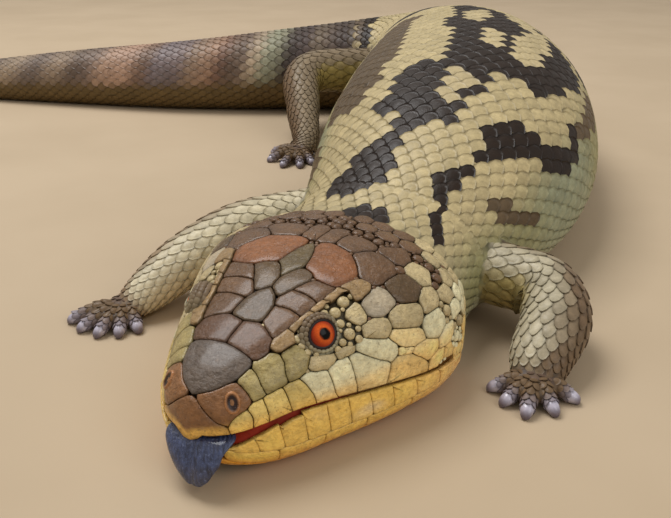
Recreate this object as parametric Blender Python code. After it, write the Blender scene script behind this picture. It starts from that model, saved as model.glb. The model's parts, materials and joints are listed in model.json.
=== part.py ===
"""Blue-tongued skink at rest, life size. All tables are in millimetres, and +Z is up.

The body is one loft along a bent line on the floor, divided into short lengths. Each length, limb, foot, claw and
eye is its own object. A narrow gap keeps neighbours apart.
"""

import bmesh
import bpy
import numpy as np
from mathutils import Matrix, Vector

# Overall
MM = 0.001
GAP = 0.3
MERGE = 0.001
OBJECT_NAME = "blue_tongued_skink"
BODY_AROUND = 26
LIMB_AROUND = 12
TOE_AROUND = 8
# half the step along a path from which its direction is taken
SHORT_STEP = 0.01

# Line of the body on the floor. The distance runs from the tip of the snout to the tip of the tail.
SNOUT_X = -60.6
SNOUT_Y = -136.2
BODY_LENGTH = 523.0
# distance, direction of the line in degrees from +X
HEADING = [
    (0, 60), (60, 61), (90, 66), (120, 73), (150, 78), (180, 81), (210, 87), (240, 102), (262, 128),
    (280, 158), (300, 178), (325, 184), (360, 178), (400, 170), (530, 168),
]

# Outline of the body
# distance, half width, height of the top, height of the underside, height of the widest level
BODY = [
    (0, 0.6, 11.0, 8.0, 9.5), (0.9, 3.8, 14.0, 5.2, 9.3), (2.6, 6.8, 16.0, 3.5, 9.0),
    (5.3, 9.5, 17.8, 2.3, 8.8), (8.8, 11.9, 19.4, 1.4, 8.8), (13, 14.2, 21.0, 0.7, 8.9),
    (18.5, 16.9, 22.7, 0.3, 9.1), (24.5, 20.1, 24.8, 0, 9.3), (32, 23.7, 26.6, 0, 9.8), (39, 26.2, 27.6, 0, 10.8),
    (45, 26.8, 27.6, 0, 11.6), (51, 25.0, 27.2, 0, 11.8), (56, 23.7, 27.2, 0, 11.8), (64, 23.4, 28.6, 0, 12),
    (74, 25.8, 31.5, 0, 12), (88, 30.5, 36, 0, 13), (108, 36, 42, 0, 14), (140, 40.6, 47.5, 0, 15.5),
    (175, 41.8, 50, 0, 16), (210, 40, 50.5, 0, 16), (240, 35, 48, 0, 16), (262, 29, 44, 0, 16),
    (283, 24, 40, 0, 16), (303, 21, 37, 0, 16), (330, 19, 34, 0, 15.5), (370, 16.5, 29.5, 0, 13.5),
    (420, 13.2, 24.5, 0, 11.5), (460, 10.4, 19.5, 0, 9.5), (490, 7.4, 14.5, 0, 7), (508, 5, 9.5, 0, 4.6),
    (518, 2.8, 5.5, 0, 2.7), (523, 1.0, 2.2, 0.1, 1.1),
]
# distance, squareness above the widest level, squareness below it
SQUARENESS = [
    (0, 2.2, 2.2), (8, 2.35, 3.2), (17, 2.7, 3.4), (29, 2.7, 3.5), (45, 2.35, 3.6), (62, 2.2, 2.8), (100, 2.15, 2.5),
    (523, 2.1, 2.3),
]
UNDERSIDE_SINK = 1.2

# Lengths of the neck, trunk and tail. The name is followed by where it ends and the number of rings.
HEAD_END = 51.0
LENGTHS = [
    ("neck", 74.0, 4), ("trunk_front", 148.0, 8), ("trunk_middle", 214.0, 6), ("trunk_rear", 300.0, 11),
    ("tail_base", 374.0, 8), ("tail_middle", 452.0, 7), ("tail_end", BODY_LENGTH, 9),
]

# Head. The mouth line is the lower edge of the upper lip.
HEAD_RINGS = 19
HEAD_OVER = 22
HEAD_ACROSS = 6
JAW_TIP = 1.2
JAW_UNDER = 16
# the jaw stands this far outside the upper lip, growing over FLARE_GROWS and ending over FLARE_ENDS
JAW_FLARE = 0.8
FLARE_GROWS = 8.0
FLARE_ENDS = 10.0
STEEPEST_LIP = 0.98
# distance, height of the mouth line
MOUTH_LINE = [
    (0, 9.0), (3.6, 9.9), (6, 10.4), (11, 11.1), (18.7, 10.4), (29, 9.3), (34.3, 8.7), (40, 8.6), (51, 8.6),
]
# distance, how far the lips stand apart
MOUTH_GAP = [(0, 2.9), (3, 2.3), (5, 1.5), (9, 0.9), (14, 0.6), (20, 0.3), (51, 0.3)]

# Eyes
EYE_RADIUS = 3.6
EYE_DISTANCE = 19.9
EYE_LATERAL = 10.8
EYE_HEIGHT = 19.2
EYE_SEGMENTS = 14
EYE_RINGS = 10

# Tongue
# distance, sideways, height, half width, half thickness
TONGUE = [
    (4.4, 1.2, 8.9, 4.4, 0.35), (3.0, 1.6, 8.6, 5.4, 0.55), (1.4, 1.1, 8.0, 5.9, 0.7), (0.1, 1.1, 7.2, 5.6, 0.85),
    (-0.9, 1.6, 5.9, 5.0, 0.95), (-1.6, 1.9, 4.6, 4.0, 0.95), (-2.1, 2.3, 3.3, 2.9, 0.8), (-2.4, 2.6, 2.2, 1.5, 0.55),
]
TONGUE_AROUND = 12
TONGUE_RINGS = 12

# Limbs. Each row is x, y, z, half width, half height, along the limb from inside the body to the palm or sole.
# The divisions are how far along the rows the elbow or knee and the wrist or ankle are.
LIMBS = {
    "fore_left": [
        (-15.0, -80.5, 12.8, 8.6, 8.6), (-4.4, -84.4, 11.4, 7.2, 7.3), (4.8, -90.8, 11.0, 6.9, 7.0),
        (5.2, -99.6, 8.6, 7.2, 6.6), (0.8, -107.8, 5.4, 6.4, 5.2), (-1.2, -112.4, 2.3, 4.8, 3.1),
    ],
    "fore_right": [
        (-34.0, -58.0, 14.0, 9, 9), (-47.5, -56.5, 12.6, 7.6, 7.6), (-60.5, -63.0, 12.2, 7.4, 7.3),
        (-71.5, -72.6, 9.2, 6.8, 6.6), (-78.9, -79.8, 5.4, 5.5, 5.2), (-83.6, -83.2, 2.3, 5.0, 3.1),
    ],
    "hind_right": [
        (-18.9, 112.4, 17.0, 11, 11), (-22.9, 97.8, 20.0, 10, 10), (-49.1, 81.1, 22.0, 8.2, 8.4),
        (-50.6, 62.3, 12.5, 6.8, 6.8), (-48.9, 42.7, 5.2, 5.2, 5.0), (-51.2, 37.0, 2.2, 5.0, 3.0),
    ],
    "hind_left": [
        (-12.2, 129.1, 16.0, 11, 11), (-8.6, 145.0, 19.0, 10, 10), (-2.4, 158.1, 20.0, 8.2, 8.4),
        (6.6, 166.6, 12.5, 6.8, 6.8), (14.3, 172.4, 5.2, 5.2, 5.0), (18.2, 176.0, 2.2, 5.0, 3.0),
    ],
}
ELBOW = 2.0
WRIST = 4.0
UPPER_RINGS = 8
LOWER_RINGS = 7
ANKLE_REACH = 0.5
# x and y of the tip of each claw, inner toe first
TOE_TIPS = {
    "fore_left": [(-10.2, -111.8), (-8.6, -117.2), (-5.0, -121.2), (0.9, -120.5), (6.4, -116.2)],
    "fore_right": [(-79.2, -91.2), (-83.3, -93.2), (-88.2, -93.2), (-92.8, -90.6), (-96.2, -86.3)],
    "hind_right": [(-45.8, 27.4), (-50.4, 23.6), (-57.0, 24.2), (-62.6, 31.6), (-62.0, 42.6)],
    "hind_left": [(27.5, 173.6), (28.9, 178.8), (27.8, 183.8), (24.3, 187.9), (17.3, 186.5)],
}
TOE_BASE = 2.0
TOE_END = 1.65
PALM_HEIGHT = 2.4
TOE_ARCH = 3.0
TOE_RINGS = 4
CLAW_LENGTH = 2.7
CLAW_BASE = 1.25
CLAW_TIP = 0.5
CLAW_HEIGHT = 1.45
CLAW_TIP_HEIGHT = 0.7
CLAW_RINGS = 4

# Cutters
ROOT_CUT_END = 400
ROOT_CUT_RINGS = 46
ROOT_CUT_LOWEST = -6.0
LEG_CUT_RINGS = 4
LEG_CUT_OVERRUN = 0.9 * GAP

# Colours
COLOURS = {
    "skin_head": (0.32, 0.21, 0.13), "skin_jaw": (0.70, 0.38, 0.10), "skin_body": (0.33, 0.29, 0.19),
    "skin_tail": (0.19, 0.15, 0.12), "skin_limb": (0.30, 0.26, 0.19), "claw": (0.34, 0.29, 0.31),
    "tongue": (0.05, 0.07, 0.14), "eye": (0.45, 0.10, 0.03),
}


def smooth_table(x, table):
    """Values at x from rows of (x, value, ...), on a cubic that never overshoots its rows."""
    rows = np.asarray(table, float)
    at, values = rows[:, 0], rows[:, 1:]
    x = np.clip(np.asarray(x, float), at[0], at[-1])
    step = np.diff(at)[:, None]
    slope = np.diff(values, axis=0) / step
    before, after = slope[:-1], slope[1:]
    product = before * after
    total = np.where(np.abs(before + after) < 1e-9, 1.0, before + after)
    tangent = np.vstack([slope[:1], np.where(product > 0, 2 * product / total, 0), slope[-1:]])
    i = np.clip(np.searchsorted(at, x, side="right") - 1, 0, len(at) - 2)
    u = ((x - at[i]) / (at[i + 1] - at[i]))[:, None]
    h = (at[i + 1] - at[i])[:, None]
    rise, fall = u * u * (3 - 2 * u), (1 + 2 * u) * (1 - u) ** 2
    return fall * values[i] + rise * values[i + 1] + h * u * (1 - u) * ((1 - u) * tangent[i] - u * tangent[i + 1])


def spine(distance):
    """x, y and direction in radians of the body's line at each distance, summed in steps of one millimetre."""
    steps = np.arange(0, BODY_LENGTH + 20.0)
    angle = np.radians(smooth_table(steps, HEADING)[:, 0])
    x = SNOUT_X + np.concatenate([[0], np.cumsum((np.cos(angle[1:]) + np.cos(angle[:-1])) / 2)])
    y = SNOUT_Y + np.concatenate([[0], np.cumsum((np.sin(angle[1:]) + np.sin(angle[:-1])) / 2)])
    return np.interp(distance, steps, x), np.interp(distance, steps, y), np.interp(distance, steps, angle)


def place(distance, lateral, z):
    """Points at a distance along the body, so far to the animal's left, at height z."""
    distance = np.asarray(distance, float)
    x, y, angle = spine(np.maximum(distance, 0))
    ahead = np.minimum(distance, 0)
    px = x + lateral * np.sin(angle) + ahead * np.cos(angle)
    py = y - lateral * np.cos(angle) + ahead * np.sin(angle)
    return np.stack(np.broadcast_arrays(px, py, z), -1)


def section(distance, turn, grow=0.0, lowest=None):
    """Sideways and upward positions on the body's section: a superellipse above the widest level and another below.

    turn is the angle from the animal's left over the top. grow makes the section larger all round.
    """
    half, top, bottom, wide = smooth_table(np.atleast_1d(distance), BODY)[0]
    above, below = smooth_table(np.atleast_1d(distance), SQUARENESS)[0]
    half, top = half + grow, top + grow
    floor = bottom if lowest is None else lowest
    c, s = np.cos(turn), np.sin(turn)
    power = np.where(s >= 0, above, below)
    reach = (np.abs(c) ** power + np.abs(s) ** power) ** (-1 / power)
    depth = wide - bottom + UNDERSIDE_SINK if lowest is None else wide - lowest
    z = wide + np.where(s >= 0, top - wide, depth) * reach * s
    return half * reach * c, np.maximum(z, floor)


def turn_at(distance, height):
    """The angle on the section, on the animal's left, where its outline is at this height."""
    half, top, bottom, wide = smooth_table(np.atleast_1d(distance), BODY)[0]
    above, below = smooth_table(np.atleast_1d(distance), SQUARENESS)[0]
    if height >= wide:
        s, power = (height - wide) / (top - wide), above
    else:
        s, power = (height - wide) / (wide - bottom + UNDERSIDE_SINK), below
    s = np.clip(s, -STEEPEST_LIP, STEEPEST_LIP)
    return np.arctan2(s, (1 - np.abs(s) ** power) ** (1 / power))


def along_rows(rows, t):
    """Points on a smooth curve through the rows, where t counts rows from the first."""
    rows = np.asarray(rows, float)
    t = np.atleast_1d(np.asarray(t, float))
    ends = np.vstack([2 * rows[0] - rows[1], rows, 2 * rows[-1] - rows[-2]])
    i = np.clip(t.astype(int), 0, len(rows) - 2)
    u = (t - i)[:, None]
    a, b, c, d = ends[i], ends[i + 1], ends[i + 2], ends[i + 3]
    return 0.5 * (2 * b + (c - a) * u + (2 * a - 5 * b + 4 * c - d) * u**2 + (3 * b - a - 3 * c + d) * u**3)


def material(name):
    """A plain material in one of the named colours."""
    made = bpy.data.materials.get(name) or bpy.data.materials.new(name)
    made.use_nodes = True
    shader = made.node_tree.nodes["Principled BSDF"]
    shader.inputs["Base Color"].default_value = (*COLOURS[name], 1.0)
    shader.inputs["Roughness"].default_value = 0.5
    made.diffuse_color = (*COLOURS[name], 1.0)
    return made


def own_material(obj, name):
    """Gives the object a material of its own, a copy of the named one."""
    made = material(name).copy()
    made.name = obj.name + "_" + name
    obj.data.materials.append(made)


def loft(name, rings, collection):
    """A closed solid through rings of points, each ring listed the same way round, with a face over each end."""
    count, around = len(rings), len(rings[0])
    i, j = np.meshgrid(np.arange(count - 1), np.arange(around), indexing="ij")
    a, b = i * around + j, i * around + (j + 1) % around
    faces = np.stack([a, a + around, b + around, b], -1).reshape(-1, 4).tolist()
    faces.append(list(range(around)))
    faces.append(list(range(count * around - 1, (count - 1) * around - 1, -1)))
    mesh = bpy.data.meshes.new(name)
    mesh.from_pydata(np.asarray(rings).reshape(-1, 3).tolist(), [], faces)
    made = bmesh.new()
    made.from_mesh(mesh)
    bmesh.ops.remove_doubles(made, verts=made.verts, dist=MERGE)
    bmesh.ops.recalc_face_normals(made, faces=made.faces)
    made.to_mesh(mesh)
    made.free()
    obj = bpy.data.objects.new(name, mesh)
    collection.objects.link(obj)
    return obj


def combine(obj, other, operation):
    """Applies an exact Boolean of this object with the other one."""
    modifier = obj.modifiers.new(operation.lower(), "BOOLEAN")
    modifier.operation = operation
    modifier.solver = "EXACT"
    modifier.object = other
    bpy.context.view_layer.update()
    result = bpy.data.meshes.new_from_object(obj.evaluated_get(bpy.context.evaluated_depsgraph_get()))
    obj.modifiers.clear()
    obj.data = result


def body_length(name, start, end, count, collection):
    """One length of the neck, trunk or tail between two distances."""
    turns = np.linspace(0, 2 * np.pi, BODY_AROUND, endpoint=False)
    at = np.linspace(start, end, count)
    if end == BODY_LENGTH:
        at = start + (end - start) * np.sin(np.linspace(0, np.pi / 2, count))
    return loft(name, [place(s, *section(s, turns)) for s in at], collection)


def head_ring(distance):
    """A ring of the upper head: over the top from lip to lip, then back across the roof of the mouth."""
    level = smooth_table([distance], MOUTH_LINE)[0, 0]
    start = turn_at(distance, level)
    over = np.linspace(start, np.pi - start, HEAD_OVER)
    lateral, z = section(distance, over)
    across = np.linspace(lateral[-1], lateral[0], HEAD_ACROSS)[1:-1]
    return place(distance, np.append(lateral, across), np.append(z, np.full(len(across), z[0])))


def jaw_ring(distance):
    """A ring of the lower jaw: under the chin from lip to lip, then back across the floor of the mouth."""
    level = smooth_table([distance], MOUTH_LINE)[0, 0] - smooth_table([distance], MOUTH_GAP)[0, 0]
    start = turn_at(distance, level)
    under = np.linspace(np.pi - start, 2 * np.pi + start, JAW_UNDER)
    lateral, z = section(distance, under)
    flare = JAW_FLARE * np.clip(distance / FLARE_GROWS, 0, 1) * np.clip((HEAD_END - distance) / FLARE_ENDS, 0, 1)
    lateral = lateral + np.sign(lateral) * flare * np.clip(np.abs(lateral) / FLARE_GROWS, 0, 1)
    across = np.linspace(lateral[-1], lateral[0], HEAD_ACROSS)[1:-1]
    return place(distance, np.append(lateral, across), np.append(z, np.full(len(across), z[0])))


def limb_ring(rows, t, grow=0.0, above_floor=True, moved=0.0):
    """A ring square to the limb's path at t, made larger by grow and moved along the path."""
    x, y, z, half_width, half_height = along_rows(rows, t)[0]
    ahead = Vector((along_rows(rows, t + SHORT_STEP) - along_rows(rows, t - SHORT_STEP))[0, :3]).normalized()
    side = ahead.cross(Vector((0, 0, 1))).normalized()
    up = side.cross(ahead)
    turns = np.linspace(0, 2 * np.pi, LIMB_AROUND, endpoint=False)
    ring = np.array([x, y, z]) + moved * np.array(ahead) + (half_width + grow) * np.outer(np.cos(turns), side)
    ring += (half_height + grow) * np.outer(np.sin(turns), up)
    if above_floor:
        ring[:, 2] = np.maximum(ring[:, 2], 0)
    return ring


def toe_path(rows, tip):
    """Rows of x, y, z and radius from the middle of the palm to the end of a toe, and the toe's direction."""
    palm = np.array(rows[-1][:2])
    tip = np.array(tip)
    ahead = (tip - palm) / np.linalg.norm(tip - palm)
    end = tip - ahead * (CLAW_LENGTH + GAP)
    middle = (palm + end) / 2
    return [
        (*palm, PALM_HEIGHT, TOE_BASE),
        (*middle, TOE_ARCH, TOE_BASE),
        (*end, TOE_END, TOE_END),
    ], ahead


def tube_ring(x, y, z, radius, ahead, around):
    """A round ring across a level direction."""
    turns = np.linspace(0, 2 * np.pi, around, endpoint=False)
    side = np.array([-ahead[1], ahead[0], 0.0])
    return np.array([x, y, z]) + radius * (np.outer(np.cos(turns), side) + np.outer(np.sin(turns), (0, 0, 1)))


def foot(name, rows, tips, collection, cutters):
    """The palm or sole joined with its ankle and toes, and a separate claw on each toe."""
    stub = [limb_ring(rows, WRIST, above_floor=False, moved=GAP)]
    stub += [limb_ring(rows, WRIST + u * ANKLE_REACH, above_floor=False) for u in (0.5, 1.0)]
    made = loft(name + "_foot", stub, collection)
    x, y, z, half_width, half_height = rows[-1]
    palm = sphere(name + "_palm", (x, y, z), 1.0, cutters)
    for vertex in palm.data.vertices:
        out = vertex.co - Vector((x, y, z))
        vertex.co = Vector((x + out.x * half_width, y + out.y * half_width, z + out.z * half_height))
    combine(made, palm, "UNION")
    for number, tip in enumerate(tips, 1):
        path, ahead = toe_path(rows, tip)
        steps = along_rows(path, np.linspace(0, 2, TOE_RINGS))
        toe = loft(f"{name}_toe_{number}", [tube_ring(*row, ahead, TOE_AROUND) for row in steps], cutters)
        combine(made, toe, "UNION")
        end = np.array(path[-1][:2]) + ahead * GAP
        claw_rings = []
        for u in np.linspace(0, 1, CLAW_RINGS):
            centre = end + ahead * CLAW_LENGTH * u
            radius = CLAW_TIP + (CLAW_BASE - CLAW_TIP) * np.sqrt(1 - u * u)
            height = CLAW_HEIGHT + (CLAW_TIP_HEIGHT - CLAW_HEIGHT) * u * u
            claw_rings.append(tube_ring(*centre, height, radius, ahead, TOE_AROUND))
        claw = loft(f"{name}_claw_{number}", claw_rings, collection)
        own_material(claw, "claw")
    leg = [limb_ring(rows, t, GAP, False) for t in np.linspace(ELBOW + 1, WRIST, LEG_CUT_RINGS)]
    leg.append(limb_ring(rows, WRIST, GAP, False, LEG_CUT_OVERRUN))
    combine(made, loft(name + "_around_leg", leg, cutters), "DIFFERENCE")
    cut_at_floor(made)
    return made


def cut_at_floor(obj):
    """Takes off all below the floor and closes the cut with flat faces."""
    made = bmesh.new()
    made.from_mesh(obj.data)
    every = made.verts[:] + made.edges[:] + made.faces[:]
    bmesh.ops.bisect_plane(made, geom=every, dist=MERGE, plane_co=(0, 0, 0), plane_no=(0, 0, 1), clear_inner=True)
    rim = [edge for edge in made.edges if edge.is_boundary]
    bmesh.ops.holes_fill(made, edges=rim, sides=0)
    bmesh.ops.triangulate(made, faces=made.faces)
    bmesh.ops.dissolve_degenerate(made, edges=made.edges, dist=MERGE)
    bmesh.ops.recalc_face_normals(made, faces=made.faces)
    made.to_mesh(obj.data)
    made.free()


def sphere(name, centre, radius, collection):
    """A round ball with its centre in millimetres."""
    mesh = bpy.data.meshes.new(name)
    made = bmesh.new()
    bmesh.ops.create_uvsphere(made, u_segments=EYE_SEGMENTS, v_segments=EYE_RINGS, radius=radius)
    bmesh.ops.translate(made, verts=made.verts, vec=Vector(centre))
    made.to_mesh(mesh)
    made.free()
    obj = bpy.data.objects.new(name, mesh)
    collection.objects.link(obj)
    return obj


def tongue_ring(t):
    """A flat oval ring across the tongue's path at t."""
    rows = along_rows(TONGUE, [t - SHORT_STEP, t, t + SHORT_STEP])
    distance, sideways, height, half_width, half_thickness = rows[1]
    run, rise = rows[2, 0] - rows[0, 0], rows[2, 2] - rows[0, 2]
    slope = np.array([-rise, run]) / np.hypot(run, rise)
    turns = np.linspace(0, 2 * np.pi, TONGUE_AROUND, endpoint=False)
    out = half_thickness * np.sin(turns)
    return place(distance + out * slope[0], sideways + half_width * np.cos(turns), height + out * slope[1])


def build():
    """Clears the scene, then makes every part of the animal."""
    for obj in list(bpy.data.objects):
        bpy.data.objects.remove(obj, do_unlink=True)
    parts = bpy.data.collections.new(OBJECT_NAME)
    cutters = bpy.data.collections.new("cutters")
    bpy.context.scene.collection.children.link(parts)
    bpy.context.scene.collection.children.link(cutters)

    # Head, jaw, tongue and eyes
    along_head = HEAD_END * (1 - np.cos(np.linspace(0.0, 1, HEAD_RINGS) * np.pi / 2))
    head = loft("head", [head_ring(s) for s in along_head], parts)
    own_material(head, "skin_head")
    along_jaw = JAW_TIP + (HEAD_END - JAW_TIP) * (1 - np.cos(np.linspace(0.0, 1, HEAD_RINGS - 2) * np.pi / 2))
    jaw = loft("lower_jaw", [jaw_ring(s) for s in along_jaw], parts)
    own_material(jaw, "skin_jaw")
    tongue = loft("tongue", [tongue_ring(t) for t in np.linspace(0, len(TONGUE) - 1, TONGUE_RINGS)], parts)
    own_material(tongue, "tongue")
    for side, sign in (("left", 1), ("right", -1)):
        centre = place(EYE_DISTANCE, sign * EYE_LATERAL, EYE_HEIGHT)
        socket = sphere("socket_" + side, centre, EYE_RADIUS + GAP, cutters)
        combine(head, socket, "DIFFERENCE")
        eye = sphere("eye_" + side, centre, EYE_RADIUS, parts)
        own_material(eye, "eye")

    # Neck, trunk and tail
    start = HEAD_END + GAP
    for name, end, count in LENGTHS:
        made = body_length(name, start, end, count, parts)
        own_material(made, "skin_tail" if name.startswith("tail") else "skin_body")
        start = end + GAP

    # A slightly larger body cuts the roots of the limbs
    turns = np.linspace(0, 2 * np.pi, BODY_AROUND, endpoint=False)
    cut_at = np.linspace(HEAD_END, ROOT_CUT_END, ROOT_CUT_RINGS)
    rings = [place(s, *section(s, turns, GAP, ROOT_CUT_LOWEST)) for s in cut_at]
    around_body = loft("around_body", rings, cutters)

    # Limbs
    for name, rows in LIMBS.items():
        rings = [limb_ring(rows, t) for t in np.linspace(0, ELBOW, UPPER_RINGS)]
        upper = loft(name + "_upper_leg", rings, parts)
        combine(upper, around_body, "DIFFERENCE")
        own_material(upper, "skin_limb")
        rings = [limb_ring(rows, ELBOW, moved=GAP)]
        rings += [limb_ring(rows, t) for t in np.linspace(ELBOW, WRIST, LOWER_RINGS)[1:]]
        lower = loft(name + "_lower_leg", rings, parts)
        own_material(lower, "skin_limb")
        made = foot(name, rows, TOE_TIPS[name], parts, cutters)
        own_material(made, "skin_limb")

    # Everything above is in millimetres, and the model is in metres
    for mesh in bpy.data.meshes:
        mesh.transform(Matrix.Scale(MM, 4))
    for obj in cutters.objects:
        obj.display_type = "WIRE"
        obj.hide_render = True
    cutters.hide_render = True


build()
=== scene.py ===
"""Blue-tongued skink at rest, life size. Tables are in millimetres and degrees; meshes are made in metres.

The body follows a bent line on the floor. A point on its hide is given by the distance from the snout along
that line and by the turn round the section, from the animal's left (0) over the back (90) to its right (180).
"""

import json

import bpy
import numpy as np
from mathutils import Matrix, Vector, kdtree

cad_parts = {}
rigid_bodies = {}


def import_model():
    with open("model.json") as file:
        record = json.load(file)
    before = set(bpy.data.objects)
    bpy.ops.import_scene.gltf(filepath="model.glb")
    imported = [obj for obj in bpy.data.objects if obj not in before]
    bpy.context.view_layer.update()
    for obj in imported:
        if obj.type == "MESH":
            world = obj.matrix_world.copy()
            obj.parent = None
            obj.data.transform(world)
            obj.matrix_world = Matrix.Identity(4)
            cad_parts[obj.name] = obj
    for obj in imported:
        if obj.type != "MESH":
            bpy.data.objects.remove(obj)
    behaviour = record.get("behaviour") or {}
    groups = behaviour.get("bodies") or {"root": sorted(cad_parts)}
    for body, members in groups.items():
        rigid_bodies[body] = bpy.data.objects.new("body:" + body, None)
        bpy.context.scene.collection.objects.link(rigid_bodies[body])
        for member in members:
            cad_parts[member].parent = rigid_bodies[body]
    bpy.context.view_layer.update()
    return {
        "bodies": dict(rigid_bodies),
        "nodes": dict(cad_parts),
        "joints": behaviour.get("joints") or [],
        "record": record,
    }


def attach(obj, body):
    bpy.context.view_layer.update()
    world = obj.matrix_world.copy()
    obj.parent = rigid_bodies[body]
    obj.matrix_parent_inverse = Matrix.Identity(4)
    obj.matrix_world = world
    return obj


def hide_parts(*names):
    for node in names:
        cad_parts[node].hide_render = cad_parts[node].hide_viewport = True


MM = 0.001
TAU = 2 * np.pi
RANDOM = np.random.default_rng(11)
SIDES = ("left", 1), ("right", -1)

# Line of the body on the floor
SNOUT_X = -60.6
SNOUT_Y = -136.2
BODY_LENGTH = 523.0
HEAD_END = 51.0
HEADING = [
    (0, 60), (60, 61), (90, 66), (120, 73), (150, 78), (180, 81), (210, 87), (240, 102), (262, 128),
    (280, 158), (300, 178), (325, 184), (360, 178), (400, 170), (530, 168),
]

# Outline: distance, half width, height of the top, height of the underside, height of the widest level
BODY = [
    (0, 0.6, 11.0, 8.0, 9.5), (0.9, 3.8, 14.0, 5.2, 9.3), (2.6, 6.8, 16.0, 3.5, 9.0),
    (5.3, 9.5, 17.8, 2.3, 8.8), (8.8, 11.9, 19.4, 1.4, 8.8), (13, 14.2, 21.0, 0.7, 8.9),
    (18.5, 16.9, 22.7, 0.3, 9.1), (24.5, 20.1, 24.8, 0, 9.3), (32, 23.7, 26.6, 0, 9.8),
    (39, 26.2, 27.6, 0, 10.8), (45, 26.8, 27.6, 0, 11.6), (51, 25.0, 27.2, 0, 11.8),
    (56, 23.7, 27.2, 0, 11.8), (64, 23.4, 28.6, 0, 12), (74, 25.8, 31.5, 0, 12), (88, 30.5, 36, 0, 13),
    (108, 36, 42, 0, 14), (140, 40.6, 47.5, 0, 15.5), (175, 41.8, 50, 0, 16), (210, 40, 50.5, 0, 16),
    (240, 35, 48, 0, 16), (262, 29, 44, 0, 16), (283, 24, 40, 0, 16), (303, 21, 37, 0, 16),
    (330, 19, 34, 0, 15.5), (370, 16.5, 29.5, 0, 13.5), (420, 13.2, 24.5, 0, 11.5),
    (460, 10.4, 19.5, 0, 9.5), (490, 7.4, 14.5, 0, 7), (508, 5, 9.5, 0, 4.6), (518, 2.8, 5.5, 0, 2.7),
    (523, 1.0, 2.2, 0.1, 1.1),
]
# distance, squareness above the widest level, squareness below it
SQUARENESS = [
    (0, 2.2, 2.2), (8, 2.35, 3.2), (17, 2.7, 3.4), (29, 2.7, 3.5), (45, 2.35, 3.6), (62, 2.2, 2.8),
    (100, 2.15, 2.5), (523, 2.1, 2.3),
]
UNDERSIDE_SINK = 1.2

# Mouth: height of the upper lip's edge, and how far the lips stand apart
MOUTH_LINE = [
    (0, 9.0), (3.6, 9.9), (6, 10.4), (11, 11.1), (18.7, 10.4), (29, 9.3), (34.3, 8.7), (40, 8.6), (51, 8.6),
]
MOUTH_GAP = [(0, 2.9), (3, 2.3), (5, 1.5), (9, 0.9), (14, 0.6), (20, 0.3), (51, 0.3)]
# how far the lower jaw stands outside the upper lip
JAW_FLARE = 0.8
# the lips meet up to this distance, and plates this close to the middle line have no lip edge
LIPS_END = 41.5
LIPS_MIDDLE = 2.5

# Limbs: x, y, z, half width, half height, from inside the body to the palm or sole
LIMBS = {
    "fore_left": [
        (-15.0, -80.5, 12.8, 8.6, 8.6), (-4.4, -84.4, 11.4, 7.2, 7.3), (4.8, -90.8, 11.0, 6.9, 7.0),
        (5.2, -99.6, 8.6, 7.2, 6.6), (0.8, -107.8, 5.4, 6.4, 5.2), (-1.2, -112.4, 2.3, 4.8, 3.1),
    ],
    "fore_right": [
        (-34.0, -58.0, 14.0, 9, 9), (-47.5, -56.5, 12.6, 7.6, 7.6), (-60.5, -63.0, 12.2, 7.4, 7.3),
        (-71.5, -72.6, 9.2, 6.8, 6.6), (-78.9, -79.8, 5.4, 5.5, 5.2), (-83.6, -83.2, 2.3, 5.0, 3.1),
    ],
    "hind_right": [
        (-18.9, 112.4, 17.0, 11, 11), (-22.9, 97.8, 20.0, 10, 10), (-49.1, 81.1, 22.0, 8.2, 8.4),
        (-50.6, 62.3, 12.5, 6.8, 6.8), (-48.9, 42.7, 5.2, 5.2, 5.0), (-51.2, 37.0, 2.2, 5.0, 3.0),
    ],
    "hind_left": [
        (-12.2, 129.1, 16.0, 11, 11), (-8.6, 145.0, 19.0, 10, 10), (-2.4, 158.1, 20.0, 8.2, 8.4),
        (6.6, 166.6, 12.5, 6.8, 6.8), (14.3, 172.4, 5.2, 5.2, 5.0), (18.2, 176.0, 2.2, 5.0, 3.0),
    ],
}
# x and y of the tip of each claw, inner toe first
TOE_TIPS = {
    "fore_left": [(-10.2, -111.8), (-8.6, -117.2), (-5.0, -121.2), (0.9, -120.5), (6.4, -116.2)],
    "fore_right": [(-79.2, -91.2), (-83.3, -93.2), (-88.2, -93.2), (-92.8, -90.6), (-96.2, -86.3)],
    "hind_right": [(-45.8, 27.4), (-50.4, 23.6), (-57.0, 24.2), (-62.6, 31.6), (-62.0, 42.6)],
    "hind_left": [(27.5, 173.6), (28.9, 178.8), (27.8, 183.8), (24.3, 187.9), (17.3, 186.5)],
}
# half width of a toe at the palm and at its end, heights of its line in the palm and at its knuckle
TOE_BASE = 2.0
TOE_END = 1.65
PALM_HEIGHT = 2.4
TOE_ARCH = 3.0
CLAW_LENGTH = 2.7

# Coat: how far the skin lies inside the outline of the body, the limbs and the toes
COAT = 0.75
LIMB_COAT = 0.6
TOE_COAT = 0.35
# size of the cells that fuse the skin, how often it is smoothed, and how far it stays off the floor
VOXEL = 1.15
SMOOTHING = 4
SKIN_CLEAR = 0.12
# heights of scales below this are drawn together above the floor
LOW = 0.6
# grid of one scale, how much painted shade darkens its sides, and half the size of its place on the bake map
ACROSS = np.linspace(-1, 1, 6)
ALONG = np.linspace(0, 1, 6)
EDGE_SHADE = 0.34
NAPE_EDGE_SHADE = 0.5
PATCH_SIZE = 0.0014
# how many scales go round a limb, a palm and a toe
LIMB_AROUND = 15
PALM_AROUND = 14
TOE_AROUND = 6
# brightness of the bare skin against the scales over it, painted darker as shade between and under them, on
# the body and on the head
SKIN_SHADE = 0.8
HEAD_SHADE = 0.5

# Eyes: the ball's size and place, and the direction of its axis as ahead, sideways and up
EYE_RADIUS = 3.6
EYE_DISTANCE = 19.9
EYE_LATERAL = 10.8
EYE_HEIGHT = 19.2
EYE_LOOK = (0.40, 0.78, 0.50)
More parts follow.
